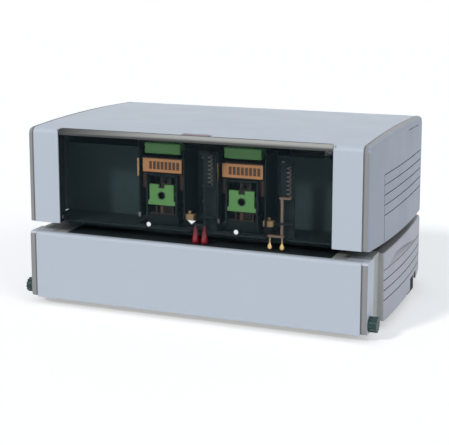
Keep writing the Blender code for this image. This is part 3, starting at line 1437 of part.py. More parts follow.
def make_jam_gate(name):
    """The green gate with its finger hole, which tips forward to clear a jam."""
    x = HEAD_X[name]
    top = GATE_BOTTOM + GATE_HEIGHT
    ear = POST_OUTER - POST_WIDTH - CLEAR
    ear_top = GATE_BOTTOM + GATE_EAR_HEIGHT
    right = [
        (ear, GATE_BOTTOM), (ear, ear_top), (GATE_HALF, ear_top), (GATE_HALF, top),
        (GATE_NOTCH_HALF, top), (GATE_NOTCH_HALF, top - GATE_NOTCH_DEPTH),
    ]
    outline = [(x + u, v) for u, v in right] + [(x - u, v) for u, v in right[::-1]]
    y = (FRONT + GATE_FRONT, FRONT + GATE_FRONT + GATE_THICK)
    mesh = bmesh.new()
    add_prism(mesh, outline, "Y", y[0], y[1])
    gate = piece(f"jam_gate_{name}", mesh, green_plastic())
    hole_z = GATE_BOTTOM + GATE_HOLE_UP
    cut(gate, lambda tool: add_cylinder(
        tool, "Y", (x, hole_z), GATE_HOLE_RADIUS, y[0] - OVERRUN, y[1] + OVERRUN, 24))

    def pins(tool):
        for side in SIDE.values():
            reach = mirrored(side, (ear - GATE_EAR_REACH, ear + GATE_EAR_REACH))
            add_cylinder(tool, "X", (GATE_PIVOT_Y, GATE_PIVOT_Z), GATE_PIN_RADIUS, x + reach[0], x + reach[1], 12)

    return join(gate, pins)


def make_driver_slide(name):
    """The driver blade, with the arm that the cam pushes down."""
    x = HEAD_X[name]
    mesh = bmesh.new()
    add_box(mesh, (x - BLADE_HALF, x + BLADE_HALF), (BLADE_Y, BLADE_Y + BLADE_THICK), (BLADE_BOTTOM, BLADE_TOP))
    slide = piece(f"driver_slide_{name}", mesh, bright_steel())
    tappet = SHAFT_Y
    outline = [
        (BLADE_Y + EMBED, ARM_BOTTOM), (tappet + ARM_HALF, ARM_BOTTOM), (tappet + ARM_HALF, ARM_TOP),
        (tappet + TAPPET_HALF, ARM_TOP), (tappet + TAPPET_HALF, ARM_TOP + TAPPET_HEIGHT),
        (tappet - TAPPET_HALF, ARM_TOP + TAPPET_HEIGHT), (tappet - TAPPET_HALF, ARM_TOP), (BLADE_Y + EMBED, ARM_TOP),
    ]
    return join(slide, lambda tool: add_prism(tool, outline, "X", x - ARM_HALF, x + ARM_HALF))


# Clinchers


def make_clincher_holder(name):
    """The fixed anvil block under the table, with a channel for its two wings."""
    x = HEAD_X[name]
    reach = CLINCH_CHANNEL_HALF + CLINCH_WALL
    y = (CLINCH_Y - reach, CLINCH_Y + reach)
    mesh = bmesh.new()
    outline = [
        (x - CLINCH_STEM_HALF, PAN_TOP_FACE + CLEAR), (x + CLINCH_STEM_HALF, PAN_TOP_FACE + CLEAR),
        (x + CLINCH_STEM_HALF, CLINCH_BOTTOM), (x + CLINCH_HALF, CLINCH_BOTTOM + CLINCH_FLOOR),
        (x + CLINCH_HALF, CLINCH_TOP), (x - CLINCH_HALF, CLINCH_TOP),
        (x - CLINCH_HALF, CLINCH_BOTTOM + CLINCH_FLOOR), (x - CLINCH_STEM_HALF, CLINCH_BOTTOM),
    ]
    add_prism(mesh, outline, "Y", y[0], y[1])
    holder = piece(f"clincher_holder_{name}", mesh, bright_steel())
    cut(holder, lambda tool: add_box(
        tool, (x - CLINCH_SLOT_HALF, x + CLINCH_SLOT_HALF),
        (CLINCH_Y - CLINCH_CHANNEL_HALF, CLINCH_Y + CLINCH_CHANNEL_HALF),
        (CLINCH_BOTTOM + CLINCH_FLOOR, CLINCH_TOP + OVERRUN)))

    def pin_holes(tool):
        for side in SIDE.values():
            add_cylinder(tool, "Y", (x + side * WING_PIVOT_X, CLINCH_BOTTOM + WING_PIVOT_UP),
                         WING_PIN_RADIUS + PIN_CLEAR, y[0] - OVERRUN, y[1] + OVERRUN, 12)

    return cut(holder, pin_holes)


def make_clincher_wing(name, edge):
    """One clincher wing, hanging towards the middle of its channel."""
    x = HEAD_X[name]
    side = SIDE[edge]
    pivot = (x + side * WING_PIVOT_X, CLINCH_BOTTOM + WING_PIVOT_UP)
    half = CLINCH_CHANNEL_HALF - CLEAR
    along = Vector((-side * math.cos(WING_ANGLE), -math.sin(WING_ANGLE)))
    up = Vector((-side * math.sin(WING_ANGLE), math.cos(WING_ANGLE)))
    root = Vector(pivot)
    outline = []
    for length, height in ((0.0, -0.5), (1.0, -0.5), (1.0, 0.5), (0.0, 0.5)):
        outline.append(tuple(root + along * (WING_LENGTH * length) + up * (WING_THICK * height)))
    mesh = bmesh.new()
    add_prism(mesh, outline, "Y", CLINCH_Y - half, CLINCH_Y + half)
    wing = piece(f"clincher_wing_{name}_{edge}", mesh, bright_steel())
    reach = CLINCH_CHANNEL_HALF + CLINCH_WALL / 2
    join(wing, lambda tool: add_cylinder(
        tool, "Y", pivot, WING_PIN_RADIUS, CLINCH_Y - reach, CLINCH_Y + reach, 12))
    return wing, (pivot[0], CLINCH_Y, pivot[1])


# Drive


def cam_outline():
    """A heart cam: its radius grows evenly with the angle, from straight down round to the top."""
    points = []
    steps = 36
    for index in range(steps):
        share = index / steps
        turned = 2 * min(share, 1 - share)
        radius = CAM_BASE_RADIUS + DRIVER_STROKE * turned
        angle = math.tau * share - math.pi / 2
        points.append((SHAFT_Y + radius * math.cos(angle), SHAFT_Z + radius * math.sin(angle)))
    return points


def make_drive_cam(name):
    x = HEAD_X[name]
    mesh = bmesh.new()
    add_prism(mesh, cam_outline(), "X", x - CAM_HALF, x + CAM_HALF)
    cam = piece(f"drive_cam_{name}", mesh, bright_steel())
    centre = (SHAFT_Y, SHAFT_Z)
    hub_end = x + CAM_HALF + CAM_HUB_REACH
    join(cam, lambda tool: add_cylinder(tool, "X", centre, CAM_HUB_RADIUS, x + CAM_HALF - EMBED, hub_end, 20))
    return cut(cam, lambda tool: add_cylinder(
        tool, "X", centre, SHAFT_RADIUS + CLEAR, x - CAM_HALF - OVERRUN, hub_end + OVERRUN, 20))


def make_drive_shaft():
    reach = CHASSIS_OUTER - CLEAR
    bevel = EMBED
    profile = [
        (SHAFT_RADIUS - bevel, -reach), (SHAFT_RADIUS, -reach + bevel),
        (SHAFT_RADIUS, reach - bevel), (SHAFT_RADIUS - bevel, reach),
    ]
    mesh = bmesh.new()
    add_turned(mesh, "X", (SHAFT_Y, SHAFT_Z), profile, 20)
    return piece("drive_shaft", mesh, bright_steel(), smooth=True)


def gear_outline(centre, teeth, turn=0.0):
    """A spur gear with straight-flanked teeth and a little backlash."""
    pitch_radius = GEAR_MODULE * teeth / 2
    tip = pitch_radius + GEAR_MODULE * 0.9
    root = pitch_radius - GEAR_MODULE * 1.25
    half = math.pi * GEAR_MODULE / 4 - GEAR_BACKLASH
    slope = math.tan(math.radians(20))
    root_half = (half + GEAR_MODULE * 1.25 * slope) / root
    tip_half = (half - GEAR_MODULE * 0.9 * slope) / tip
    points = []
    for index in range(teeth):
        middle = turn + math.tau * index / teeth
        for radius, away in ((root, -root_half), (tip, -tip_half), (tip, tip_half), (root, root_half)):
            angle = middle + away
            points.append((centre[0] + radius * math.cos(angle), centre[1] + radius * math.sin(angle)))
    return points


def make_drive_gear():
    centre = (SHAFT_Y, SHAFT_Z)
    mesh = bmesh.new()
    add_prism(mesh, gear_outline(centre, DRIVE_TEETH), "X", GEAR_X, GEAR_X + GEAR_WIDTH)
    gear = piece("drive_gear", mesh, bright_steel())
    return cut(gear, lambda tool: add_cylinder(
        tool, "X", centre, SHAFT_RADIUS + CLEAR, GEAR_X - OVERRUN, GEAR_X + GEAR_WIDTH + OVERRUN, 20))


def make_idler_gear():
    """A small and a large gear in one piece: one meshes with the drive gear, one with the motor."""
    centre = (IDLER_Y, SHAFT_Z)
    mesh = bmesh.new()
    add_prism(mesh, gear_outline(centre, IDLER_LARGE_TEETH), "X", IDLER_X, IDLER_X + GEAR_WIDTH)
    gear = piece("idler_gear", mesh, brass())
    half_pitch = math.pi / IDLER_SMALL_TEETH
    join(gear, lambda tool: add_prism(
        tool, gear_outline(centre, IDLER_SMALL_TEETH, half_pitch), "X", GEAR_X, IDLER_X + EMBED))
    return cut(gear, lambda tool: add_cylinder(
        tool, "X", centre, AXLE_RADIUS + PIN_CLEAR, GEAR_X - OVERRUN, IDLER_X + GEAR_WIDTH + OVERRUN, 20))


def make_motor_pinion():
    centre = (MOTOR_Y, SHAFT_Z)
    half_pitch = math.pi / MOTOR_TEETH
    mesh = bmesh.new()
    add_prism(mesh, gear_outline(centre, MOTOR_TEETH, half_pitch), "X", IDLER_X, IDLER_X + GEAR_WIDTH)
    pinion = piece("motor_pinion", mesh, bright_steel())
    return join(pinion, lambda tool: add_cylinder(
        tool, "X", centre, MOTOR_SHAFT_RADIUS, BRACKET_X, IDLER_X + GEAR_WIDTH + PLATE, 16))


def make_drive_motor():
    end = BRACKET_X - CLEAR
    start = end - MOTOR_LENGTH
    bevel = PLATE / 2
    profile = [
        (MOTOR_BOSS_RADIUS, start - MOTOR_BOSS_LENGTH), (MOTOR_BOSS_RADIUS, start), (MOTOR_RADIUS - bevel, start),
        (MOTOR_RADIUS, start + bevel), (MOTOR_RADIUS, end - bevel), (MOTOR_RADIUS - bevel, end),
    ]
    mesh = bmesh.new()
    add_turned(mesh, "X", (MOTOR_Y, SHAFT_Z), profile, 28)
    return piece("drive_motor", mesh, zinc_plate(), smooth=True)


def make_motor_bracket():
    """The plate behind the heads that holds the motor, the idler's axle and a shaft support."""
    y = (FRONT + MOUNT_DEPTH + PLATE + CLEAR, FRONT + BRACKET_BACK)
    x = (BRACKET_X, BRACKET_X + PLATE)
    mesh = bmesh.new()
    outline = [
        (x[0] - BRACKET_FLANGE, y[0]), (x[1], y[0]), (x[1], y[1]), (x[0], y[1]), (x[0], y[0] + PLATE),
        (x[0] - BRACKET_FLANGE, y[0] + PLATE),
    ]
    add_prism(mesh, outline, "Z", BRACKET_BOTTOM, MOUNT_TOP)
    bracket = piece("motor_bracket", mesh, zinc_plate())

    def holes(tool):
        through = (x[0] - OVERRUN, x[1] + OVERRUN)
        add_cylinder(tool, "X", (SHAFT_Y, SHAFT_Z), SHAFT_RADIUS + CLEAR, through[0], through[1], 20)
        add_cylinder(tool, "X", (MOTOR_Y, SHAFT_Z), MOTOR_SHAFT_RADIUS + CLEAR, through[0], through[1], 16)

    cut(bracket, holes)
    return join(bracket, lambda tool: add_cylinder(
        tool, "X", (IDLER_Y, SHAFT_Z), AXLE_RADIUS, x[0] + EMBED, IDLER_X + GEAR_WIDTH + PLATE, 16))


# Paper feelers


def make_paper_feeler(name):
    """A sprung feeler: a rod with a top arm, and two tips that rest just over the table."""
    x, rod_top, _ = feeler_places()[name]
    rise = CONE_BAR_RISE if name == "left" else FEELER_BAR_RISE
    bar = (UPPER_Z + rise, UPPER_Z + rise + FEELER_BAR_THICK)
    pitch = CONE_PITCH if name == "left" else PIN_PITCH
    material = red_lens() if name == "left" else brass()
    mesh = bmesh.new()
    add_box(mesh, (x - pitch - FEELER_BAR_HALF, x + FEELER_BAR_HALF),
            (FEELER_Y - FEELER_BAR_HALF, FEELER_Y + FEELER_BAR_HALF), bar)
    feeler = piece(f"paper_feeler_{name}", mesh, material)
    join(feeler, lambda tool: add_cylinder(
        tool, "Z", (x, FEELER_Y), FEELER_ROD_RADIUS, bar[0] + EMBED, rod_top - EMBED, 12))
    join(feeler, lambda tool: add_box(
        tool, (x - FEELER_ARM_HALF, x + SPRING_OFFSET + FEELER_ARM_HALF),
        (FEELER_Y - FEELER_ARM_HALF, FEELER_Y + FEELER_ARM_HALF), (rod_top - FEELER_ARM_THICK, rod_top)))
    low = FEELER_TIP_BOTTOM
    high = bar[0] + EMBED
    if name == "left":
        waist = low + (high - low) / 8
        profile = [(CONE_RADIUS * 0.8, low), (CONE_RADIUS, waist), (CONE_TOP_RADIUS, high)]
    else:
        waist = low + (high - low) / 3
        neck = low + (high - low) / 2
        profile = [
            (PIN_NECK_RADIUS, low), (PIN_TIP_RADIUS, low + PIN_NECK_RADIUS), (PIN_TIP_RADIUS, waist),
            (PIN_NECK_RADIUS, neck), (PIN_NECK_RADIUS, high),
        ]

    def tips(tool):
        for place in (x, x - pitch):
            add_turned(tool, "Z", (place, FEELER_Y), profile, 16)

    return join(feeler, tips)


def coil_points(x, low, high, curls):
    """Points along a coil spring: a short straight end, the curls, and a straight end."""
    lead = SPRING_WIRE_RADIUS * 2
    points = [(x + SPRING_RADIUS, FEELER_Y, low)]
    steps = curls * CURL_POINTS
    start = low + lead
    rise = high - lead - start
    for index in range(steps + 1):
        angle = math.tau * index / CURL_POINTS
        points.append((x + SPRING_RADIUS * math.cos(angle), FEELER_Y + SPRING_RADIUS * math.sin(angle),
                       start + rise * index / steps))
    points.append((x + SPRING_RADIUS, FEELER_Y, high))
    return points


def least_gap(points):
    """The least clear distance between points of a coil at least half a curl apart."""
    least = math.inf
    for index, first in enumerate(points):
        for second in points[index + CURL_POINTS // 2 + 1:]:
            least = min(least, (Vector(first) - Vector(second)).length)
    return least - SPRING_WIRE_RADIUS * 2


def make_feeler_spring(name):
    x, rod_top, spring_top = feeler_places()[name]
    curls = SPRING_LEFT_CURLS if name == "left" else SPRING_RIGHT_CURLS
    points = coil_points(x + SPRING_OFFSET, rod_top + CLEAR, spring_top, curls)
    print(f"feeler_spring_{name}: least gap to itself {least_gap(points) * 1000:.2f} mm")
    curve = bpy.data.curves.new(f"feeler_spring_{name}", "CURVE")
    curve.dimensions = "3D"
    curve.bevel_depth = SPRING_WIRE_RADIUS
    curve.bevel_resolution = 1
    curve.use_fill_caps = True
    spline = curve.splines.new("POLY")
    spline.points.add(len(points) - 1)
    for slot, point in zip(spline.points, points):
        slot.co = (*point, 1.0)
    spring = bpy.data.objects.new(f"feeler_spring_{name}", curve)
    curve.materials.append(bright_steel())
    bpy.context.scene.collection.objects.link(spring)
    return spring


# Electrical parts


def make_control_board():
    """The circuit board on its stand-offs, with the transformer and the larger components."""
    x = (BOARD_LEFT, BOARD_LEFT + BOARD_LENGTH)
    y = (FRONT + BOARD_FRONT, FRONT + BOARD_FRONT + BOARD_DEPTH)
    low = PAN_TOP_FACE + BOARD_UP
    top = low + BOARD_THICK
    mesh = bmesh.new()
    add_box(mesh, x, y, (low, top))
    board = piece("control_board", mesh, board_green())

    def stands(tool):
        for u in (x[0] + BOARD_EDGE_IN, x[1] - BOARD_EDGE_IN):
            for v in (y[0] + BOARD_EDGE_IN, y[1] - BOARD_EDGE_IN):
                add_box(tool, (u - STAND_HALF, u + STAND_HALF), (v - STAND_HALF, v + STAND_HALF),
                        (PAN_TOP_FACE + CLEAR, low + EMBED))

    def parts(tool):
        for along_share, across_share, length_share, width_share, height_share in (
                (0.04, 0.10, 0.36, 0.50, 1.0), (0.48, 0.12, 0.14, 0.20, 0.30), (0.70, 0.15, 0.10, 0.16, 0.55),
                (0.86, 0.15, 0.10, 0.16, 0.55), (0.50, 0.55, 0.26, 0.22, 0.12), (0.08, 0.76, 0.30, 0.12, 0.25)):
            u = x[0] + BOARD_LENGTH * along_share
            v = y[0] + BOARD_DEPTH * across_share
            add_box(tool, (u, u + BOARD_LENGTH * length_share), (v, v + BOARD_DEPTH * width_share),
                    (top - EMBED, top + TRANSFORMER_HEIGHT * height_share))

    join(board, stands)
    return join(board, parts)


def build():
    for item in list(bpy.data.objects):
        bpy.data.objects.remove(item, do_unlink=True)
    make_top_cover()
    window = make_window()
    trim = make_window_trim()
    hang("window_pivot", (0.0, WINDOW_PIVOT_Y, WINDOW_PIVOT_Z), [window, trim])
    hang("latch_slide", (LATCH_LEFT, FRONT + BEND_RADIUS, TOP_Z), [make_window_latch()])
    make_upper_rear_cover()
    make_lower_rear_cover()
    make_power_inlet()
    hang("switch_pivot", (SWITCH_X, REAR_FACE - SWITCH_AXIS_IN, INLET_Z), [make_rocker_switch()])
    front_cover = [make_lower_front_cover()]
    for name, side in SIDE.items():
        make_upper_side_cover(name)
        make_lower_side_cover(name)
        front_cover.append(make_front_cover_cap(name))
        hang(f"knob_axis_{name}", (side * WIDTH / 2, PIVOT_Y, PIVOT_Z), [make_pivot_knob(name)])
        make_corner_column(name)
        make_chassis_plate(name)
        make_front_foot(name)
        make_rear_foot(name)
    hang("front_cover_pivot", (0.0, PIVOT_Y, PIVOT_Z), front_cover)
    make_base_pan()
    make_paper_table()
    make_head_mounting_plate()
    make_mouth_top_plate()
    for name in SIDE:
        x = HEAD_X[name]
        make_head_frame(name)
        hang(f"carriage_slide_{name}", (x, BLADE_Y, NOSE_BOTTOM), [make_head_carriage(name), make_cartridge(name)])
        hang(f"lever_pivot_{name}", (x, LEVER_PIVOT_Y, LEVER_PIVOT_Z), [make_cartridge_lever(name)])
        hang(f"gate_pivot_{name}", (x, GATE_PIVOT_Y, GATE_PIVOT_Z), [make_jam_gate(name)])
        hang(f"driver_axis_{name}", (x, BLADE_Y, BLADE_BOTTOM), [make_driver_slide(name)])
        make_clincher_holder(name)
        for edge in SIDE:
            wing, pivot = make_clincher_wing(name, edge)
            hang(f"wing_pivot_{name}_{edge}", pivot, [wing])
        place = feeler_places()[name][0]
        hang(f"feeler_axis_{name}", (place, FEELER_Y, FEELER_TIP_BOTTOM), [make_paper_feeler(name)])
        make_feeler_spring(name)
    turning = [make_drive_shaft(), make_drive_gear()] + [make_drive_cam(name) for name in SIDE]
    hang("drive_axis", (0.0, SHAFT_Y, SHAFT_Z), turning)
    hang("idler_axis", (IDLER_X, IDLER_Y, SHAFT_Z), [make_idler_gear()])
    hang("motor_axis", (IDLER_X, MOTOR_Y, SHAFT_Z), [make_motor_pinion()])
    make_drive_motor()
    make_motor_bracket()
    make_control_board()


build()
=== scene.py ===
"""Looks of a twin-head electric stapler: its finishes, its small fittings, the stage and the camera.

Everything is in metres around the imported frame. The front faces -Y and the floor is at Z 0.
"""

import math

import bpy
from bpy.props import FloatProperty, FloatVectorProperty, IntProperty, PointerProperty
from bpy.types import Operator, Panel, PropertyGroup
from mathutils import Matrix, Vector


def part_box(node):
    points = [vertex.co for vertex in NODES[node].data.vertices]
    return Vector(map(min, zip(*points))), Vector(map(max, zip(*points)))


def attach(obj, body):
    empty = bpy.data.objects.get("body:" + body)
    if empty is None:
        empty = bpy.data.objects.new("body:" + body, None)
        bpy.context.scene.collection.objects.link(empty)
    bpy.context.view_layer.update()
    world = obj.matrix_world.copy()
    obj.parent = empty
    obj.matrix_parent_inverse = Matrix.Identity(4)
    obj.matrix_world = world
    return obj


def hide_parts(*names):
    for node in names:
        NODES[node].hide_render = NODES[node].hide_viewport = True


bl_info = {
    "name": "Twin-head stapler looks",
    "version": (1, 0, 0),
    "blender": (4, 5, 0),
    "location": "View3D > Sidebar > Stapler",
    "description": "Finishes, fittings and a studio stage for a twin-head electric stapler",
    "category": "Object",
}

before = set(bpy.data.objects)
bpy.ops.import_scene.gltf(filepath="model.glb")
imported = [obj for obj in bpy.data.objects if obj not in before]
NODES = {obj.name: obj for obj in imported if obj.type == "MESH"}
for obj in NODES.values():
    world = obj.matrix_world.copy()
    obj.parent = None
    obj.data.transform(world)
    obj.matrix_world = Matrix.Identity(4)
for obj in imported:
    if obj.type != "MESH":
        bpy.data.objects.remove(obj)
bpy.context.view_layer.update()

SIDES = {"left": -1, "right": 1}


def box_of(node):
    """The lowest and highest corner of a CAD node, as vectors."""
    low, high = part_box(node)
    return Vector(low), Vector(high)


def middle_x(node):
    low, high = box_of(node)
    return (low.x + high.x) / 2


FRONT = box_of("lower_front_cover")[0].y
HEAD_X = {side: middle_x(f"cartridge_{side}") for side in SIDES}


# Sizes and colours that a user would change


def colour(label, text, value):
    return FloatVectorProperty(
        name=label, description=text, subtype="COLOR", size=3, min=0.0, max=1.0, default=value)


def length(label, text, value):
    return FloatProperty(
        name=label, description=text, subtype="DISTANCE", unit="LENGTH", min=0.0, default=value)


def share(label, text, value):
    return FloatProperty(name=label, description=text, subtype="FACTOR", min=0.0, max=1.0, default=value)


def level(label, text, value):
    return FloatProperty(name=label, description=text, min=0.0, default=value)


class StaplerStage(PropertyGroup):
    floor_size: length("Floor size", "Side of the square studio floor", 9.0)
    floor_colour: colour("Floor colour", "Paint of the studio floor", (0.84, 0.84, 0.84))
    floor_lift: share("Floor lift", "Light that the camera sees on the floor beside what falls on it", 0.40)
    key_level: level("Key light", "Strength of the soft front light", 1.38)
    top_level: level("Top light", "Strength of the soft light overhead", 0.20)
    side_level: level("Side light", "Strength of the soft light on the right", 0.72)
    room_level: share("Room level", "Strength of the light from all round", 0.35)


class StaplerCovers(PropertyGroup):
    pale: colour("Pale cover", "Paint of the sheet covers", (0.535, 0.592, 0.676))
    upper_side: colour("Upper side", "Plastic of the upper side covers", (0.365, 0.405, 0.480))
    lower_side: colour("Lower side", "Plastic of the lower side covers", (0.50, 0.51, 0.58))
    cap: colour("Cap", "Plastic of the front cover's end caps", (0.59, 0.64, 0.72))
    rim: colour("Rim", "Plastic of the rims along the sides", (0.29, 0.293, 0.298))
    # The groove colour is painted shade, down in the side covers' grooves and on the upper cover's step
    groove_painted_shade: colour("Groove", "Shaded plastic down in the grooves", (0.085, 0.095, 0.12))
    column: colour("Column", "Plastic of the corner columns", (0.46, 0.475, 0.465))
    knob: colour("Knob", "Plastic of the pivot knobs", (0.026, 0.062, 0.064))
    crease: length("Edge rounding", "Radius of the softened edges", 0.0004)


class StaplerWindow(PropertyGroup):
    tint: colour("Tint", "Colour of the smoked pane", (0.012, 0.022, 0.028))
    density: share("Density", "How much the pane hides", 0.16)
    mark: colour("Marks", "Paint of the printed marks", (0.9, 0.92, 0.93))
    dot_radius: length("Dot radius", "Radius of the two staple position dots", 0.0027)
    mark_thickness: length("Mark thickness", "How far the marks stand off the pane", 0.00015)
    # The strip's pale colour is a painted reflection along its crown, and its dark colour is painted shade
    trim_painted_highlight: colour("Trim", "Colour of the strip over the pane", (0.46, 0.46, 0.44))
    trim_painted_shade: colour("Trim shade", "Colour of the strip's lower edge and left end", (0.045, 0.05, 0.05))
    latch: colour("Latch", "Colour of the sliding latch", (0.37, 0.27, 0.29))


class StaplerHeads(PropertyGroup):
    green: colour("Green", "Plastic of the levers and jam gates", (0.20, 0.52, 0.155))
    label: colour("Label", "Card of the cartridge labels", (0.90, 0.43, 0.18))
    slot: colour("Label slots", "Dark slots in the cartridge labels", (0.17, 0.095, 0.055))
    brass: colour("Brass", "Metal of the edge plates and of the right feeler's tips", (0.62, 0.46, 0.22))
    copper: colour("Runner", "Colour of the cartridge runners", (0.12, 0.068, 0.048))
    sensor: colour("Sensor", "Colour of the sensor blocks", (0.70, 0.47, 0.24))
    steel: colour("Dark steel", "Paint of the heads' frames and of the mouth's top", (0.03, 0.045, 0.05))
    plate: colour("Cross plate", "Paint of the plates behind and beside the heads", (0.078, 0.125, 0.132))
    table: colour("Table steel", "Paint of the paper table and the carriages", (0.02, 0.03, 0.034))
    label_width: length("Label width", "Width of a cartridge label", 0.0500)
    label_height: length("Label height", "Height of a cartridge label", 0.0160)
    label_rise: length("Label rise", "Gap between the cartridge's lower edge and its label", 0.0022)
    bars: IntProperty(name="Label slots", description="Dark slots on each label", default=8, min=1, max=8)


class StaplerFittings(PropertyGroup):
    screw_radius: length("Screw head radius", "Radius of the pan head screws", 0.0028)
    screw_height: length("Screw head height", "Height of the pan head screws", 0.0010)
    pin_width: length("Inlet pin width", "Width of the inlet's flat pins", 0.0042)


SETTINGS = {
    "stapler_stage": StaplerStage,
    "stapler_covers": StaplerCovers,
    "stapler_window": StaplerWindow,
    "stapler_heads": StaplerHeads,
    "stapler_fittings": StaplerFittings,
}


def covers():
    return bpy.context.scene.stapler_covers


def pane():
    return bpy.context.scene.stapler_window


def heads():
    return bpy.context.scene.stapler_heads


# Shader nodes


def put(tree, kind, inputs=None, **settings):
    """Add a node, set its options, and give each named input a value or another node's socket."""
    node = tree.nodes.new(kind)
    for key, value in settings.items():
        setattr(node, key, value)
    for key, value in (inputs or {}).items():
        if isinstance(value, bpy.types.NodeSocket):
            tree.links.new(value, node.inputs[key])
        else:
            node.inputs[key].default_value = value
    return node


def place_of(tree):
    return put(tree, "ShaderNodeTexCoord").outputs["Object"]


def normal_of(tree):
    return put(tree, "ShaderNodeNewGeometry").outputs["Normal"]


def part_of(tree, vector, axis):
    return put(tree, "ShaderNodeSeparateXYZ", {0: vector}).outputs[axis]


def noise(tree, place, scale, detail, roughness=0.5):
    given = {"Vector": place, "Scale": scale, "Detail": detail, "Roughness": roughness}
    return put(tree, "ShaderNodeTexNoise", given).outputs[0]


def ramp(tree, value, start=0.0, end=1.0, bottom=0.0, top=1.0):
    """Go from the bottom at the start value to the top at the end value, and stay level past both."""
    given = {"Value": value, "From Min": start, "From Max": end, "To Min": bottom, "To Max": top}
    return put(tree, "ShaderNodeMapRange", given).outputs[0]


def combined(tree, operation, *values):
    """One number worked out of others; each is a value or a socket."""
    return put(tree, "ShaderNodeMath", dict(enumerate(values)), operation=operation).outputs[0]


# Where the mix node has its two colours and the mixed one, after its sockets for numbers and vectors
MIX_FIRST = 6
MIX_SECOND = 7
MIX_RESULT = 2


def blended(tree, mask, amount, base, other):
    """Mix two colours by a mask that is weighed by an amount; a colour is a value or a socket."""
    weight = combined(tree, "MULTIPLY", mask, amount)
    first, second = (
        value if isinstance(value, bpy.types.NodeSocket) else (*value, 1.0) for value in (base, other))
    given = {"Factor": weight, MIX_FIRST: first, MIX_SECOND: second}
    return put(tree, "ShaderNodeMix", given, data_type="RGBA").outputs[MIX_RESULT]


def toned(base, factor):
    return tuple(min(1.0, part * factor) for part in base)


# Shader effects that several finishes share

NO_STRETCH = (1.0, 1.0, 1.0)


def new_group(name, inputs, outputs):
    """An empty shader node group with named sockets, and its two end nodes."""
    tree = bpy.data.node_groups.new(name, "ShaderNodeTree")
    for label, kind, value in inputs:
        socket = tree.interface.new_socket(label, in_out="INPUT", socket_type=f"NodeSocket{kind}")
        socket.default_value = value
    for label, kind in outputs:
        tree.interface.new_socket(label, in_out="OUTPUT", socket_type=f"NodeSocket{kind}")
    return tree, tree.nodes.new("NodeGroupInput").outputs, tree.nodes.new("NodeGroupOutput").inputs


def fine_grain_group():
    """Fine moulded or painted grain, and a slow mottle over the whole surface."""
    tree, given, result = new_group(
        "fine_grain",
        [("Scale", "Float", 1400.0), ("Stretch", "Vector", NO_STRETCH), ("Mottle Scale", "Float", 22.0)],
        [("Height", "Float"), ("Mottle", "Float")])
    place = place_of(tree)
    stretched = put(tree, "ShaderNodeMapping", {"Vector": place, "Scale": given["Stretch"]}).outputs[0]
    grain = noise(tree, stretched, given["Scale"], detail=3.0, roughness=0.6)
    slow = noise(tree, place, given["Mottle Scale"], detail=3.0, roughness=0.55)
    tree.links.new(grain, result["Height"])
    tree.links.new(ramp(tree, slow, start=0.3, end=0.7), result["Mottle"])
    return tree


def soft_edges_group():
    """A normal rounded over the edges, and a broken mask of the wear along them."""
    tree, given, result = new_group(
        "soft_edges", [("Width", "Float", 0.0004)], [("Normal", "Vector"), ("Wear", "Float")])
    rounded = put(tree, "ShaderNodeBevel", {"Radius": given["Width"]}, samples=4).outputs[0]
    match = put(tree, "ShaderNodeVectorMath", {0: rounded, 1: normal_of(tree)}, operation="DOT_PRODUCT")
    bend = ramp(tree, match.outputs["Value"], start=0.995, end=0.85)
    broken = ramp(tree, noise(tree, place_of(tree), scale=90.0, detail=4.0), start=0.42, end=0.62)
    tree.links.new(rounded, result["Normal"])
    tree.links.new(combined(tree, "MULTIPLY", bend, broken), result["Wear"])
    return tree


def settled_dust_group():
    """Where dust lies: on faces that look up, in soft patches."""
    tree, given, result = new_group("settled_dust", [("Patch Scale", "Float", 30.0)], [("Mask", "Float")])
    upward = ramp(tree, part_of(tree, normal_of(tree), "Z"), start=0.55, end=0.98)
    patches = noise(tree, place_of(tree), given["Patch Scale"], detail=5.0)
    soft = ramp(tree, patches, start=0.35, end=0.75)
    tree.links.new(combined(tree, "MULTIPLY", upward, soft), result["Mask"])
    return tree


def strip_painted_light_group():
    """Painted shade on the strip over the pane: dark low on its curve, at its upper seam and towards its left
    end, where its painted reflection fades.
    """
    tree, given, result = new_group(
        "strip_shade", [("Fade Start", "Float", -0.020), ("Left End", "Float", -0.172)], [("Mask", "Float")])
    turn = part_of(tree, normal_of(tree), "Z")
    low = ramp(tree, turn, start=0.62, end=0.22, top=0.9)
    seam = ramp(tree, turn, start=0.93, end=0.985)
    left = ramp(tree, part_of(tree, place_of(tree), "X"), given["Fade Start"], given["Left End"])
    across = combined(tree, "MAXIMUM", low, seam)
    tree.links.new(combined(tree, "MAXIMUM", across, left), result["Mask"])
    return tree


def seam_shadow_line_group():
    """Painted shadow: a fine dark line along the seam between the rims and the sheet covers, on both sides.
    """
    tree, given, result = new_group(
        "seam_line",
        [("Seam", "Float", 0.2034), ("Outer Edge", "Float", 0.0013), ("Inner Edge", "Float", 0.0003)],
        [("Mask", "Float")])
    out = combined(tree, "ABSOLUTE", part_of(tree, place_of(tree), "X"))
    past = combined(tree, "SUBTRACT", out, given["Seam"])
    tree.links.new(ramp(tree, past, given["Outer Edge"], given["Inner Edge"]), result["Mask"])
    return tree


GROUP_MAKERS = {
    "fine_grain": fine_grain_group,
    "soft_edges": soft_edges_group,
    "settled_dust": settled_dust_group,
    "strip_shade": strip_painted_light_group,
    "seam_line": seam_shadow_line_group,
}


def put_group(tree, name, inputs=None):
    """Add the shader node group of this name, which is built once."""
    if name not in bpy.data.node_groups:
        GROUP_MAKERS[name]()
    return put(tree, "ShaderNodeGroup", inputs, node_tree=bpy.data.node_groups[name])


# Finishes

DUST = (0.62, 0.60, 0.56)
MOTTLE_TONE = 0.82
WORN_TONE = 1.35
LEAST_ROUGHNESS = 0.03
RELIEF_DEPTH = 0.0002


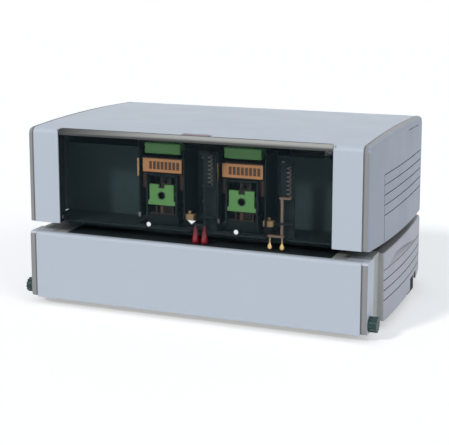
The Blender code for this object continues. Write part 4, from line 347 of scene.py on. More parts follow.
def finish(name, base, roughness, metallic=0.0, grain=1400.0, stretch=NO_STRETCH, bump=0.06, mottle=0.25,
           spread=0.05, worn=None, wear=0.35, dust=0.05, coat=0.0, mottle_scale=22.0, shine=0.5, shade=None):
    """The named finish, built once: mottled colour, fine grain, softened and worn edges, and dust on top.

    One more colour of painted light, shade or highlight, can lie over that: a shader group's name, how much
    of its mask, and the colour.
    """
    if name in bpy.data.materials:
        return bpy.data.materials[name]
    material = bpy.data.materials.new(name)
    material.use_nodes = True
    tree = material.node_tree
    shader = tree.nodes["Principled BSDF"]
    grains = {"Scale": grain, "Stretch": stretch, "Mottle Scale": mottle_scale}
    surface = put_group(tree, "fine_grain", grains)
    edges = put_group(tree, "soft_edges", {"Width": covers().crease})
    tone = blended(tree, surface.outputs["Mottle"], mottle, base, toned(base, MOTTLE_TONE))
    tone = blended(tree, edges.outputs["Wear"], wear, tone, worn or toned(base, WORN_TONE))
    if dust:
        tone = blended(tree, put_group(tree, "settled_dust").outputs["Mask"], dust, tone, DUST)
    if shade:
        group, amount, dark = shade
        tone = blended(tree, put_group(tree, group).outputs["Mask"], amount, tone, dark)
    sheen = ramp(tree, surface.outputs["Mottle"],
                 bottom=max(LEAST_ROUGHNESS, roughness - spread), top=roughness + spread)
    relief = put(tree, "ShaderNodeBump", {
        "Height": surface.outputs["Height"], "Strength": bump, "Distance": RELIEF_DEPTH,
        "Normal": edges.outputs["Normal"]})
    tree.links.new(tone, shader.inputs["Base Color"])
    tree.links.new(sheen, shader.inputs["Roughness"])
    tree.links.new(relief.outputs[0], shader.inputs["Normal"])
    shader.inputs["Metallic"].default_value = metallic
    shader.inputs["Coat Weight"].default_value = coat
    shader.inputs["Specular IOR Level"].default_value = shine
    return material


def pale_paint():
    return finish("pale_paint", covers().pale, 0.48, grain=1900.0, bump=0.05, mottle=0.10, wear=0.25,
                  dust=0.02, coat=0.05, shine=0.35)


def upper_side_plastic():
    return finish("upper_side_plastic", covers().upper_side, 0.52, grain=2600.0, bump=0.16, mottle=0.16,
                  wear=0.2, dust=0.02)


def lower_side_plastic():
    return finish("lower_side_plastic", covers().lower_side, 0.52, grain=2600.0, bump=0.16, mottle=0.2,
                  wear=0.2, dust=0.02)


def cap_plastic():
    return finish("cap_plastic", covers().cap, 0.5, grain=2600.0, bump=0.12, mottle=0.12, wear=0.2, dust=0.02)


# Painted shade: the dark colour of the side covers' grooves and of the upper step
def groove_plastic():
    return finish("groove_plastic", covers().groove_painted_shade, 0.7, grain=2600.0, bump=0.16, mottle=0.3, wear=0.1,
                  dust=0.02, shine=0.2)


def rim_plastic():
    """Grey plastic, with a painted shadow along the seam where it meets the sheet covers."""
    return finish("rim_plastic", covers().rim, 0.42, grain=2600.0, bump=0.12, mottle=0.2, wear=0.3, dust=0.02,
                  shade=("seam_line", 0.8, toned(covers().rim, 0.3)))


def column_plastic():
    return finish("column_plastic", covers().column, 0.5, grain=2400.0, bump=0.15, wear=0.25)


def knob_plastic():
    return finish("knob_moulding", covers().knob, 0.45, grain=2000.0, bump=0.18, wear=0.3,
                  worn=(0.11, 0.15, 0.15), shine=0.3)


def trim_painted_light():
    """Pale along the strip's crown as a painted reflection, with painted shade along its lower edge and
    towards its left end.
    """
    return finish("trim_strip", pane().trim_painted_highlight, 0.55, grain=700.0, stretch=(1.0, 14.0, 14.0), bump=0.05,
                  mottle=0.3, wear=0.1, dust=0.0, shine=0.06, shade=("strip_shade", 1.0, pane().trim_painted_shade))


def latch_plastic():
    return finish("latch_moulding", pane().latch, 0.42, grain=1800.0, bump=0.1, wear=0.3)


def plate_paint():
    return finish("plate_paint", heads().plate, 0.6, grain=2400.0, worn=(0.16, 0.2, 0.2), wear=0.2, dust=0.03,
                  shine=0.12)


def dark_steel():
    return finish("painted_steel", heads().steel, 0.55, grain=2400.0, mottle=0.3, worn=(0.08, 0.1, 0.1),
                  wear=0.1, dust=0.03, shine=0.1)


def table_steel():
    return finish("table_steel", heads().table, 0.5, grain=2400.0, mottle=0.3, worn=(0.10, 0.12, 0.12),
                  wear=0.3, dust=0.03, shine=0.12)


def spring_wire():
    return finish("spring_wire", (0.42, 0.39, 0.33), 0.35, metallic=0.5, grain=900.0, bump=0.05, mottle=0.3,
                  dust=0.0)


def brown_link():
    """The browned steel of the right feeler's rod."""
    return finish("brown_link", (0.36, 0.25, 0.18), 0.42, metallic=0.4, grain=700.0, stretch=(6.0, 6.0, 1.0),
                  mottle=0.4, dust=0.02)


def bright_steel():
    return finish("polished_steel", (0.56, 0.57, 0.58), 0.3, metallic=1.0, grain=260.0,
                  stretch=(1.0, 9.0, 9.0), bump=0.08, mottle=0.35, spread=0.1, worn=(0.8, 0.8, 0.8),
                  dust=0.04)


def tool_steel():
    """The oiled steel of the drivers, dull behind the pane."""
    return finish("tool_steel", (0.15, 0.14, 0.125), 0.5, metallic=0.5, grain=400.0, stretch=(6.0, 6.0, 1.0),
                  bump=0.08, mottle=0.5, spread=0.12, dust=0.03, shine=0.3)


def zinc_plate():
    return finish("zinc_coating", (0.48, 0.48, 0.44), 0.42, metallic=0.9, grain=240.0, mottle=0.6,
                  spread=0.12, mottle_scale=60.0, worn=(0.7, 0.7, 0.68), dust=0.08)


def black_rubber():
    return finish("foot_rubber", (0.022, 0.022, 0.023), 0.78, grain=1500.0, bump=0.3, mottle=0.4,
                  worn=(0.08, 0.08, 0.08), dust=0.12, shine=0.2)


def black_plastic():
    return finish("black_moulding", (0.018, 0.02, 0.022), 0.45, grain=2200.0, bump=0.2, mottle=0.3,
                  worn=(0.09, 0.09, 0.1), dust=0.03, shine=0.2)


def green_plastic():
    return finish("green_moulding", heads().green, 0.38, grain=1800.0, bump=0.08, mottle=0.22, wear=0.3,
                  worn=toned(heads().green, 1.5), dust=0.03, coat=0.1)


def gate_hole_shade():
    """Painted shade: the dark green of the shade in the gate's hole."""
    return finish("gate_ring", toned(heads().green, 0.16), 0.5, grain=1500.0, bump=0.05, dust=0.0)


def brass():
    return finish("drawn_brass", heads().brass, 0.28, metallic=1.0, grain=420.0, stretch=(8.0, 8.0, 1.0),
                  bump=0.07, mottle=0.4, spread=0.08, worn=(0.85, 0.7, 0.42))


def brass_gear():
    return finish("gear_brass", (0.58, 0.44, 0.20), 0.34, metallic=1.0, grain=500.0, bump=0.07, mottle=0.45,
                  spread=0.1, worn=(0.82, 0.66, 0.38))


def board_green():
    return finish("board_laminate", (0.02, 0.14, 0.05), 0.35, grain=900.0, bump=0.08, mottle=0.4,
                  worn=(0.3, 0.34, 0.2))


def rail_brown():
    return finish("rail_brown", heads().copper, 0.45, metallic=0.4, grain=800.0, bump=0.08, mottle=0.4)


def sensor_tan():
    return finish("sensor_tan", heads().sensor, 0.5, grain=1500.0, bump=0.1, mottle=0.3)


def peg_cream():
    return finish("peg_cream", (0.46, 0.44, 0.40), 0.4, grain=1500.0, bump=0.05)


def label_card():
    return finish("label_card", heads().label, 0.5, grain=1500.0, bump=0.05, mottle=0.3, wear=0.2, dust=0.0)


def label_ink():
    return finish("label_slots", heads().slot, 0.6, grain=1500.0, bump=0.1, mottle=0.3, dust=0.0)


def mark_white():
    return finish("mark_white", pane().mark, 0.45, grain=1500.0, bump=0.03, mottle=0.08, dust=0.0)


def vent_cloth():
    return finish("vent_screen", (0.012, 0.013, 0.015), 0.8, grain=900.0, bump=0.5, mottle=0.5, shine=0.1)


def red_lens():
    """Clear red plastic: light goes in and comes back deeper in colour."""
    material = finish("clear_red", (0.44, 0.012, 0.035), 0.16, grain=900.0, bump=0.03, mottle=0.35, wear=0.25,
                      worn=(0.75, 0.25, 0.25), dust=0.0, coat=0.4)
    shader = material.node_tree.nodes["Principled BSDF"]
    shader.inputs["Transmission Weight"].default_value = 0.35
    shader.inputs["IOR"].default_value = 1.49
    return material


def smoked_glass():
    """The smoked pane: thin, dark and glossy, with faint wiping marks in its gloss."""
    if "smoked_glass" in bpy.data.materials:
        return bpy.data.materials["smoked_glass"]
    material = bpy.data.materials.new("smoked_glass")
    material.use_nodes = True
    tree = material.node_tree
    shader = tree.nodes["Principled BSDF"]
    surface = put_group(tree, "fine_grain", {"Scale": 60.0, "Stretch": (1.0, 1.0, 3.0), "Mottle Scale": 14.0})
    tone = blended(tree, surface.outputs["Mottle"], 0.3, pane().tint, toned(pane().tint, 1.25))
    gloss = ramp(tree, surface.outputs["Height"], bottom=0.03, top=0.075)
    tree.links.new(tone, shader.inputs["Base Color"])
    tree.links.new(gloss, shader.inputs["Roughness"])
    shader.inputs["IOR"].default_value = 1.4
    shader.inputs["Specular IOR Level"].default_value = 0.15
    shader.inputs["Alpha"].default_value = pane().density
    return material


def dress(material, *nodes):
    """Give whole CAD nodes one finish."""
    for node in nodes:
        mesh = NODES[node].data
        mesh.materials.clear()
        mesh.materials.append(material)


# Modelling steps

AIM_FRONT = (math.pi / 2, 0.0, 0.0)
AIM_BACK = (-math.pi / 2, 0.0, 0.0)
AIM_DOWN = (math.pi, 0.0, 0.0)
# A face looks squarely along an axis when its normal has more than this share of it
SQUARELY = 0.9


def rest():
    """Leave edit mode and select nothing."""
    if bpy.context.mode != "OBJECT":
        bpy.ops.object.mode_set(mode="OBJECT")
    bpy.ops.object.select_all(action="DESELECT")


def pick(obj):
    rest()
    obj.select_set(True)
    bpy.context.view_layer.objects.active = obj


def edit(obj, everything=True):
    pick(obj)
    bpy.ops.object.mode_set(mode="EDIT")
    bpy.ops.mesh.select_mode(type="FACE")
    bpy.ops.mesh.select_all(action="SELECT" if everything else "DESELECT")


def freeze(obj):
    """Put a piece's place, turn and size into its mesh."""
    pick(obj)
    bpy.ops.object.transform_apply(location=True, rotation=True, scale=True)


def choose_faces(obj, test):
    """Go into edit mode with just the faces selected that pass the test."""
    edit(obj, everything=False)
    bpy.ops.object.mode_set(mode="OBJECT")
    for face in obj.data.polygons:
        face.select = bool(test(face))
    bpy.ops.object.mode_set(mode="EDIT")


def extrude(move):
    bpy.ops.mesh.extrude_region_move(TRANSFORM_OT_translate={"value": move})


def press(obj, test, rim, move):
    """Press in the faces that pass the test, inside a rim that stays."""
    choose_faces(obj, test)
    bpy.ops.mesh.inset(thickness=rim)
    extrude(move)


def point_outwards():
    bpy.ops.mesh.select_all(action="SELECT")
    bpy.ops.mesh.normals_make_consistent(inside=False)


def block(low, high, bevel, segments=2):
    """A block between two corners, with bevelled edges."""
    rest()
    centre = [(a + b) / 2 for a, b in zip(low, high)]
    bpy.ops.mesh.primitive_cube_add(size=1.0, location=centre)
    obj = bpy.context.object
    edit(obj)
    bpy.ops.transform.resize(value=[b - a for a, b in zip(low, high)], center_override=centre)
    bpy.ops.mesh.bevel(offset=bevel, segments=segments, affect="EDGES")
    rest()
    return obj


def turned(centre, profile, steps=24, aim=(0.0, 0.0, 0.0)):
    """A round piece from radius and height pairs, standing at a place and turned by the aim angles."""
    rest()
    radius, height = profile[0]
    bpy.ops.mesh.primitive_circle_add(
        vertices=steps, radius=radius, fill_type="NGON", location=(0.0, 0.0, height))
    obj = bpy.context.object
    edit(obj)
    for wide, high in profile[1:]:
        extrude((0.0, 0.0, high - height))
        factor = wide / radius
        bpy.ops.transform.resize(value=(factor, factor, 1.0), center_override=(0.0, 0.0, high))
        radius, height = wide, high
    point_outwards()
    freeze(obj)
    obj.rotation_euler = aim
    obj.location = centre
    freeze(obj)
    return obj


def copies(obj, moves):
    """The piece itself and a copy at each move, each with its own mesh."""
    group = [obj]
    for move in moves:
        pick(obj)
        bpy.ops.object.duplicate(linked=False)
        group.append(bpy.context.object)
        bpy.ops.transform.translate(value=move)
        freeze(group[-1])
    return group


def joined(group):
    rest()
    for obj in group:
        obj.select_set(True)
    bpy.context.view_layer.objects.active = group[0]
    if len(group) > 1:
        bpy.ops.object.join()
    return group[0]


def settle(obj, name, body, materials, angle=35.0):
    """Name a finished piece, put its place in its mesh, smooth it, and let it ride on its body."""
    freeze(obj)
    bpy.ops.object.shade_smooth_by_angle(angle=math.radians(angle))
    obj.name = name
    obj.data.name = name
    obj.data.materials.clear()
    for material in materials:
        obj.data.materials.append(material)
    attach(obj, body)
    rest()


MERGE_DISTANCE = 0.000002


def skin(node, body, materials, angle=28.0, choose=None):
    """Stand in for a CAD node with the same shape, its doubles merged and its curves shaded smoothly."""
    source = NODES[node]
    pick(source)
    bpy.ops.object.duplicate(linked=False)
    obj = bpy.context.object
    obj.parent = None
    obj.matrix_world = source.matrix_world
    edit(obj)
    bpy.ops.mesh.remove_doubles(threshold=MERGE_DISTANCE)
    pick(obj)
    bpy.ops.mesh.customdata_custom_splitnormals_clear()
    for key in list(obj.keys()):
        del obj[key]
    obj.data.materials.clear()
    for material in materials:
        obj.data.materials.append(material)
    for face in obj.data.polygons:
        face.material_index = choose(face) if choose else 0
    bpy.ops.object.shade_smooth_by_angle(angle=math.radians(angle))
    obj.name = f"{node}_skin"
    obj.data.name = obj.name
    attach(obj, body)
    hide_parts(node)
    rest()


# A pan head from its seat to its crown, and its cross recess, as shares of its radius and height
PAN_PROFILE = ((1.0, 0.0), (1.0, 0.35), (0.92, 0.72), (0.66, 0.95), (0.3, 1.0))
CROSS_LONG = 0.62
CROSS_SHORT = 0.13
CROSS_FLOOR = 0.4
CROSS_TOP = 1.4
CROSS_BEVEL = 0.02


def pan_screw(place, aim, radius, height):
    """A pan head screw with a cross recess, standing on a place."""
    head = turned((0.0, 0.0, 0.0), [(radius * wide, height * high) for wide, high in PAN_PROFILE], steps=20)
    for wide, deep in ((CROSS_LONG, CROSS_SHORT), (CROSS_SHORT, CROSS_LONG)):
        tool = block((-radius * wide, -radius * deep, height * CROSS_FLOOR),
                     (radius * wide, radius * deep, height * CROSS_TOP), radius * CROSS_BEVEL, segments=1)
        pick(head)
        cutter = head.modifiers.new("recess", "BOOLEAN")
        cutter.object = tool
        cutter.solver = "EXACT"
        bpy.ops.object.modifier_apply(modifier=cutter.name)
        bpy.data.objects.remove(tool, do_unlink=True)
    head.rotation_euler = aim
    head.location = place
    freeze(head)
    return head


def screws(name, places, aim, scale):
    """Screws on the machine's body, as one piece."""
    fittings = bpy.context.scene.stapler_fittings
    first = Vector(places[0])
    head = pan_screw(first, aim, fittings.screw_radius * scale, fittings.screw_height * scale)
    row = copies(head, [tuple(Vector(place) - first) for place in places[1:]])
    settle(joined(row), name, "machine", [bright_steel()])


# Finishes of the CAD nodes


class STAPLER_OT_covers(Operator):
    """Dress the housing: sheet covers, slatted sides with their rims, columns, caps, knobs and feet"""
    bl_idname = "stapler.covers"
    bl_label = "Covers"

    # The least share of their axis in the normals of broad faces, and of step faces and caps' tops
    broad_normal = 0.45
    step_normal = 0.5
    # How far out, from what height to what height and from what depth the grooves lie
    upper_grooves = (0.2095, 0.122, 0.192, FRONT + 0.0560)
    lower_grooves = (0.2070, 0.020, 0.063, FRONT + 0.0605)
    step_span = (FRONT + 0.0560, FRONT + 0.0610)
    return_span = (0.1691, 0.1714)

    def execute(self, context):
        dress(pale_paint(), "lower_front_cover", "upper_rear_cover", "lower_rear_cover")
        skin("top_cover", "machine", [pale_paint(), table_steel()], choose=self.is_return)
        for side in SIDES:
            self.dress_side(side)
        dress(black_rubber(), *(f"{end}_foot_{side}" for end in ("front", "rear") for side in SIDES))
        dress(zinc_plate(), "base_pan")
        return {"FINISHED"}

    def is_return(self, face):
        """1 for the turned-in edges of the sheet beside the pane, which are painted dark."""
        near, far = self.return_span
        return 1 if near < abs(face.center.x) < far and abs(face.normal.x) > SQUARELY else 0

    def part_of_side(self, face, grooves):
        """0 for the broad side, 1 for its rim, 2 for painted shade in its grooves and on the upper cover's
        step, 3 for the step by the lower column.
        """
        if abs(face.normal.x) > self.broad_normal:
            return 0
        reach, low, high, front = grooves
        near, far = self.step_span
        place = face.center
        on_step = near < place.y < far and face.normal.y < -self.step_normal
        if on_step and grooves is self.lower_grooves:
            return 3
        in_groove = abs(place.x) > reach and low < place.z < high and place.y > front
        return 2 if in_groove or on_step else 1

    def part_of_cap(self, face):
        """0 for the cap's broad side and top, 1 for its other edges, which look like the rims."""
        broad = abs(face.normal.x) > self.broad_normal
        return 0 if broad or face.normal.z > self.step_normal else 1

    def dress_side(self, side):
        rim = rim_plastic()
        groove_painted_shade = groove_plastic()
        skin(f"upper_side_cover_{side}", "machine", [upper_side_plastic(), rim, groove_painted_shade],
             choose=lambda face: self.part_of_side(face, self.upper_grooves))
        skin(f"lower_side_cover_{side}", "machine", [lower_side_plastic(), rim, groove_painted_shade, column_plastic()],
             choose=lambda face: self.part_of_side(face, self.lower_grooves))
        skin(f"front_cover_cap_{side}", "front_cover", [cap_plastic(), rim],
             choose=self.part_of_cap)
        skin(f"pivot_knob_{side}", f"knob_{side}", [knob_plastic()], angle=40.0)
        dress(column_plastic(), f"corner_column_{side}")


class STAPLER_OT_window(Operator):
    """Dress the window: the smoked pane, the strip over it and the sliding latch"""
    bl_idname = "stapler.window"
    bl_label = "Window"

    def execute(self, context):
        dress(smoked_glass(), "window")
        skin("window_trim", "window_door", [trim_painted_light()], angle=60.0)
        dress(latch_plastic(), "window_latch")
        return {"FINISHED"}


class STAPLER_OT_frame(Operator):
    """Dress the inner frame: side plates, cross plate, mouth plate and paper table"""
    bl_idname = "stapler.frame"
    bl_label = "Frame"

    def execute(self, context):
        dress(plate_paint(), "chassis_plate_left", "chassis_plate_right", "head_mounting_plate")
        dress(dark_steel(), "mouth_top_plate")
        dress(table_steel(), "paper_table")
        return {"FINISHED"}


class STAPLER_OT_heads(Operator):
    """Dress the stapling heads, their gates, levers and clinchers"""
    bl_idname = "stapler.heads"
    bl_label = "Heads"

    def execute(self, context):
        for side in SIDES:
            dress(dark_steel(), f"head_frame_{side}")
            dress(table_steel(), f"head_carriage_{side}")
            dress(tool_steel(), f"driver_slide_{side}")
            dress(black_plastic(), f"cartridge_{side}")
            dress(green_plastic(), f"cartridge_lever_{side}", f"jam_gate_{side}")
            dress(bright_steel(), f"clincher_holder_{side}", f"clincher_wing_{side}_left",
                  f"clincher_wing_{side}_right")
        return {"FINISHED"}


class STAPLER_OT_drive(Operator):
    """Dress the drive: shaft, cams, gears, motor and bracket"""
    bl_idname = "stapler.drive"
    bl_label = "Drive"

    def execute(self, context):
        dress(bright_steel(), "drive_shaft", "drive_gear", "motor_pinion", "drive_cam_left",
              "drive_cam_right")
        dress(brass_gear(), "idler_gear")
        dress(zinc_plate(), "drive_motor", "motor_bracket")
        return {"FINISHED"}


class STAPLER_OT_feelers(Operator):
    """Dress the paper feelers and their springs"""
    bl_idname = "stapler.feelers"
    bl_label = "Feelers"

    cone_height = 0.0203
    tip_height = 0.0125
    link_top = 0.0026
    link_foot = 0.0016
    link_foot_height = 0.0020
    link_inset = 0.0105
    link_depths = (0.0018, 0.0008)
    link_rise = 0.0185
    link_drop = 0.0012

    def execute(self, context):
        cones = box_of("paper_feeler_left")[0].z + self.cone_height
        skin("paper_feeler_left", "feeler_left", [red_lens(), dark_steel()], angle=40.0,
             choose=lambda face: 1 if face.center.z > cones else 0)
        tips = box_of("paper_feeler_right")[0].z + self.tip_height
        skin("paper_feeler_right", "feeler_right", [brass(), brown_link()], angle=40.0,
             choose=lambda face: 1 if face.center.z > tips else 0)
        dress(spring_wire(), "feeler_spring_left", "feeler_spring_right")
        self.add_link()
        return {"FINISHED"}

    def add_link(self):
        """The flat browned link along the right feeler's rod, wider towards its top."""
        low, high = box_of("paper_feeler_right")
        x = high.x - self.link_inset
        y = (low.y + high.y) / 2
        bottom = low.z + self.link_rise
        front, back = self.link_depths
        link = block((x - self.link_top, y - front, bottom),
                     (x + self.link_top, y - back, high.z - self.link_drop), bevel=0.0003)
        choose_faces(link, lambda face: face.center.z < bottom + self.link_foot_height)
        narrowed = self.link_foot / self.link_top
        bpy.ops.transform.resize(value=(narrowed, 1.0, 1.0), center_override=(x, y, bottom))
        settle(link, "feeler_link_right", "feeler_right", [brown_link()])


class STAPLER_OT_electrics(Operator):
    """Dress the board, the mains inlet and the switch"""
    bl_idname = "stapler.electrics"
    bl_label = "Electrics"

    def execute(self, context):
        dress(board_green(), "control_board")
        dress(black_plastic(), "power_inlet", "rocker_switch")
        return {"FINISHED"}


# Pieces that the solids don't have


class STAPLER_OT_labels(Operator):
    """Add the slotted label and the rail on the front of each cartridge"""
    bl_idname = "stapler.labels"
    bl_label = "Cartridge labels"

    # The label is a grid of faces, and its slots are counted in columns; slot_reach is a share of its height
    columns = 50
    rows = 5
    first_column = 8
    slot_columns = 4
    slot_pitch = 5
    slot_reach = 0.3
    slot_edge = 0.0001
    recess = 0.0003
    thickness = 0.0005
    rail_height = 0.0012
    rail_front = 0.0009
    rail_back = 0.0002

    def execute(self, context):
        for side in SIDES:
            low, high = box_of(f"cartridge_{side}")
            foot = low.z + heads().label_rise
            top = foot + heads().label_height
            self.add_label(side, Vector((HEAD_X[side], low.y, foot)))
            rail = block((low.x, low.y - self.rail_front, top),
                         (high.x, low.y + self.rail_back, top + self.rail_height), bevel=0.0003)
            settle(rail, f"cartridge_rail_{side}", f"staple_cartridge_{side}", [rail_brown()])
        return {"FINISHED"}

    def add_label(self, side, place):
        """A card standing on a place, its slots pressed in and dark."""
        wide = heads().label_width
        high = heads().label_height
        centre = place + Vector((0.0, -self.thickness, high / 2))
        rest()
        bpy.ops.mesh.primitive_grid_add(x_subdivisions=self.columns, y_subdivisions=self.rows, size=1.0)
        obj = bpy.context.object
        obj.scale = (wide, high, 1.0)
        obj.rotation_euler = AIM_FRONT
        obj.location = centre
        freeze(obj)
        start = centre.x - wide / 2
        wanted = {self.first_column + self.slot_pitch * index + part
                  for index in range(heads().bars) for part in range(self.slot_columns)}

        def in_slot(face):
            column = int((face.center.x - start) / (wide / self.columns))
            return column in wanted and abs(face.center.z - centre.z) < high * self.slot_reach

        press(obj, in_slot, rim=self.slot_edge, move=(0.0, self.recess, 0.0))
        bpy.ops.object.mode_set(mode="OBJECT")
        finishes = [label_card(), label_ink()]
        for material in finishes:
            obj.data.materials.append(material)
        for face in obj.data.polygons:
            face.material_index = 1 if face.select else 0
        edit(obj)
        bpy.ops.mesh.region_to_loop()
        extrude((0.0, self.thickness, 0.0))
        bpy.ops.mesh.edge_face_add()
        point_outwards()
        rest()
        kinds = [face.material_index for face in obj.data.polygons]
        settle(obj, f"cartridge_label_{side}", f"staple_cartridge_{side}", finishes, angle=20.0)
        for face, kind in zip(obj.data.polygons, kinds):
            face.material_index = kind


def beside(x, corners):
    """Two corners that are given from a head's middle, the front cover's face and the floor."""
    return [(x + across, FRONT + deep, high) for across, deep, high in corners]


def faces_front(least_area):
    """A test for the faces that look forward and are larger than this area."""
    return lambda face: face.normal.y < -SQUARELY and face.area > least_area


class STAPLER_OT_head_fittings(Operator):
    """Add the small brass, brown, tan and black fittings round each head"""
    bl_idname = "stapler.head_fittings"
    bl_label = "Head fittings"

    # The edge plate's corners across and in depth are given from the frame's own corner
    plate_near = (-0.0014, -0.0012)
    plate_far = (0.0010, 0.0120)
    plate_span = (0.1625, 0.1840)
    plate_rim = 0.0022
    plate_dish = 0.0009
    runner_span = (0.0212, 0.0258)
    runner_depths = (0.0015, 0.0170)
    runner_foot = 0.1480
    runner_overlap = 0.0004
    ring_rise = 0.0115
    ring_profile = ((0.0036, 0.0004), (0.0036, -0.0002), (0.0040, -0.0004), (0.0047, -0.0004),
                    (0.0050, -0.0002), (0.0050, 0.0004))
    plunger_place = (0.0392, 0.1538)
    plunger_profile = ((0.0016, 0.0), (0.0028, 0.0006), (0.0028, 0.0040), (0.0021, 0.0044), (0.0021, 0.0060),
                       (0.0030, 0.0064), (0.0030, 0.0094))
    guides = (
        ((-0.0092, 0.0352, 0.1176), (-0.0078, 0.0366, 0.1285)),
        ((-0.0036, 0.0352, 0.1176), (0.0006, 0.0366, 0.1285)),
        ((0.0118, 0.0352, 0.1176), (0.0132, 0.0366, 0.1285)),
        ((-0.0168, 0.0344, 0.1170), (0.0142, 0.0364, 0.1186)),
    )
    peg = ((-0.0293, 0.0284, 0.1134), (-0.0267, 0.0312, 0.1188))
    # A sensor's corners are given from its own middle; its foot stands on the mouth's top plate
    sensor_out = {"left": 0.0335, "right": 0.0313}
    sensor_seat = 0.0014
    sensor_foot = ((-0.0045, 0.0350), (0.0045, 0.0420))
    sensor_foot_top = 0.1134
    sensor_case = ((-0.0062, 0.0340, 0.1132), (0.0062, 0.0430, 0.1198))
    stud_place = (0.0380, 0.1196)
    stud_profile = ((0.0012, 0.0), (0.0012, 0.0016), (0.0019, 0.0020), (0.0019, 0.0034), (0.0013, 0.0040))

    def execute(self, context):
        for side, x in HEAD_X.items():
            self.add_edge_plate(side)
            self.add_runners(side, x)
            self.add_plunger(side, x)
            self.add_guides(side, x)
            self.add_sensor(side, x + self.sensor_out[side])
            self.add_gate_ring(side, x)
            peg = block(*beside(x, self.peg), bevel=0.0010, segments=3)
            settle(peg, f"head_peg_{side}", "machine", [peg_cream()])
        return {"FINISHED"}

    def add_edge_plate(self, side):
        """The brass strip along the left edge of the head's frame."""
        corner = box_of(f"head_frame_{side}")[0]
        low, high = (
            (corner.x + across, corner.y + deep, height)
            for (across, deep), height in zip((self.plate_near, self.plate_far), self.plate_span))
        plate = block(low, high, bevel=0.0004)
        press(plate, lambda face: face.normal.x < -SQUARELY and face.area > 0.0001,
              rim=self.plate_rim, move=(self.plate_dish, 0.0, 0.0))
        settle(plate, f"head_edge_plate_{side}", "machine", [brass()])

    def add_gate_ring(self, side, x):
        """A ring round the gate's hole, painted dark green as the shade in it."""
        corner = box_of(f"jam_gate_{side}")[0]
        ring = turned((x, corner.y, corner.z + self.ring_rise), self.ring_profile, steps=28, aim=AIM_FRONT)
        settle(ring, f"jam_gate_ring_{side}", f"gate_{side}", [gate_hole_shade()])

    def add_runners(self, side, x):
        """The two rails that hang under the cartridge."""
        corner = box_of(f"cartridge_{side}")[0]
        near, far = self.runner_depths
        pair = []
        for turn in SIDES.values():
            inner, outer = sorted(turn * out for out in self.runner_span)
            rail = block((x + inner, corner.y + near, self.runner_foot),
                         (x + outer, corner.y + far, corner.z + self.runner_overlap), bevel=0.0004)
            press(rail, faces_front(least_area=0.00002), rim=0.0009, move=(0.0, 0.0008, 0.0))
            pair.append(rail)
        settle(joined(pair), f"cartridge_runners_{side}", f"staple_cartridge_{side}", [rail_brown()])

    def add_plunger(self, side, x):
        deep, foot = self.plunger_place
        rod = turned((x, FRONT + deep, foot), self.plunger_profile)
        settle(rod, f"head_plunger_{side}", f"carriage_{side}", [black_plastic()])

    def add_guides(self, side, x):
        """Three upright staple guides on a cross bar."""
        bars = [block(*beside(x, corners), bevel=0.0003) for corners in self.guides]
        settle(joined(bars), f"staple_guides_{side}", f"carriage_{side}", [rail_brown()])

    def add_sensor(self, side, x):
        """A black foot on the mouth's top plate, and on it a tan case with a stud."""
        seat = box_of("mouth_top_plate")[0].z + self.sensor_seat
        near, far = self.sensor_foot
        foot = block(*beside(x, ((*near, seat), (*far, self.sensor_foot_top))), bevel=0.0005)
        settle(foot, f"sensor_foot_{side}", "machine", [black_plastic()])
        case = block(*beside(x, self.sensor_case), bevel=0.0006)
        press(case, faces_front(least_area=0.00003), rim=0.0011, move=(0.0, 0.0006, 0.0))
        deep, foot = self.stud_place
        stud = turned((x, FRONT + deep, foot), self.stud_profile, steps=18)
        settle(joined([case, stud]), f"sensor_block_{side}", "machine", [sensor_tan()])


class STAPLER_OT_window_marks(Operator):
    """Print the staple position dots and the centre mark on the pane"""
    bl_idname = "stapler.window_marks"
    bl_label = "Window marks"

    dot_places = {"left": -0.0512, "right": 0.0573}
    dot_height = 0.1125
    centre_place = (0.0030, 0.1200)
    centre_radius = 0.0036
    centre_scale = (1.68, 0.85, 1.0)
    centre_taper = 0.97

    def execute(self, context):
        face = box_of("window")[0].y
        radius = pane().dot_radius
        thick = pane().mark_thickness
        profile = [(radius, -thick), (radius, thick * 0.6), (radius * 0.94, thick)]
        for side, x in self.dot_places.items():
            dot = turned((x, face, self.dot_height), profile, steps=32, aim=AIM_FRONT)
            settle(dot, f"window_dot_{side}", "window_door", [mark_white()])
        self.add_centre_mark(face, thick)
        return {"FINISHED"}

    def add_centre_mark(self, face, thick):
        """A flat triangle that points down."""
        x, z = self.centre_place
        rest()
        bpy.ops.mesh.primitive_circle_add(vertices=3, radius=self.centre_radius, fill_type="NGON")
        mark = bpy.context.object
        edit(mark)
        extrude((0.0, 0.0, thick * 2))
        bpy.ops.transform.resize(value=(self.centre_taper, self.centre_taper, 1.0),
                                 center_override=(0.0, 0.0, thick * 2))
        point_outwards()
        rest()
        mark.rotation_euler = AIM_FRONT
        mark.scale = self.centre_scale
        mark.location = (x, face + thick, z)
        freeze(mark)
        self.point_down(mark, z)
        settle(mark, "window_centre_mark", "window_door", [mark_white()])

    def point_down(self, mark, z):
        """Turn the triangle over if its single corner points up."""
        heights = [corner.co.z for corner in mark.data.vertices]
        if max(heights) - z > z - min(heights):
            for corner in mark.data.vertices:
                corner.co.z = 2 * z - corner.co.z
            edit(mark)
            point_outwards()
            rest()


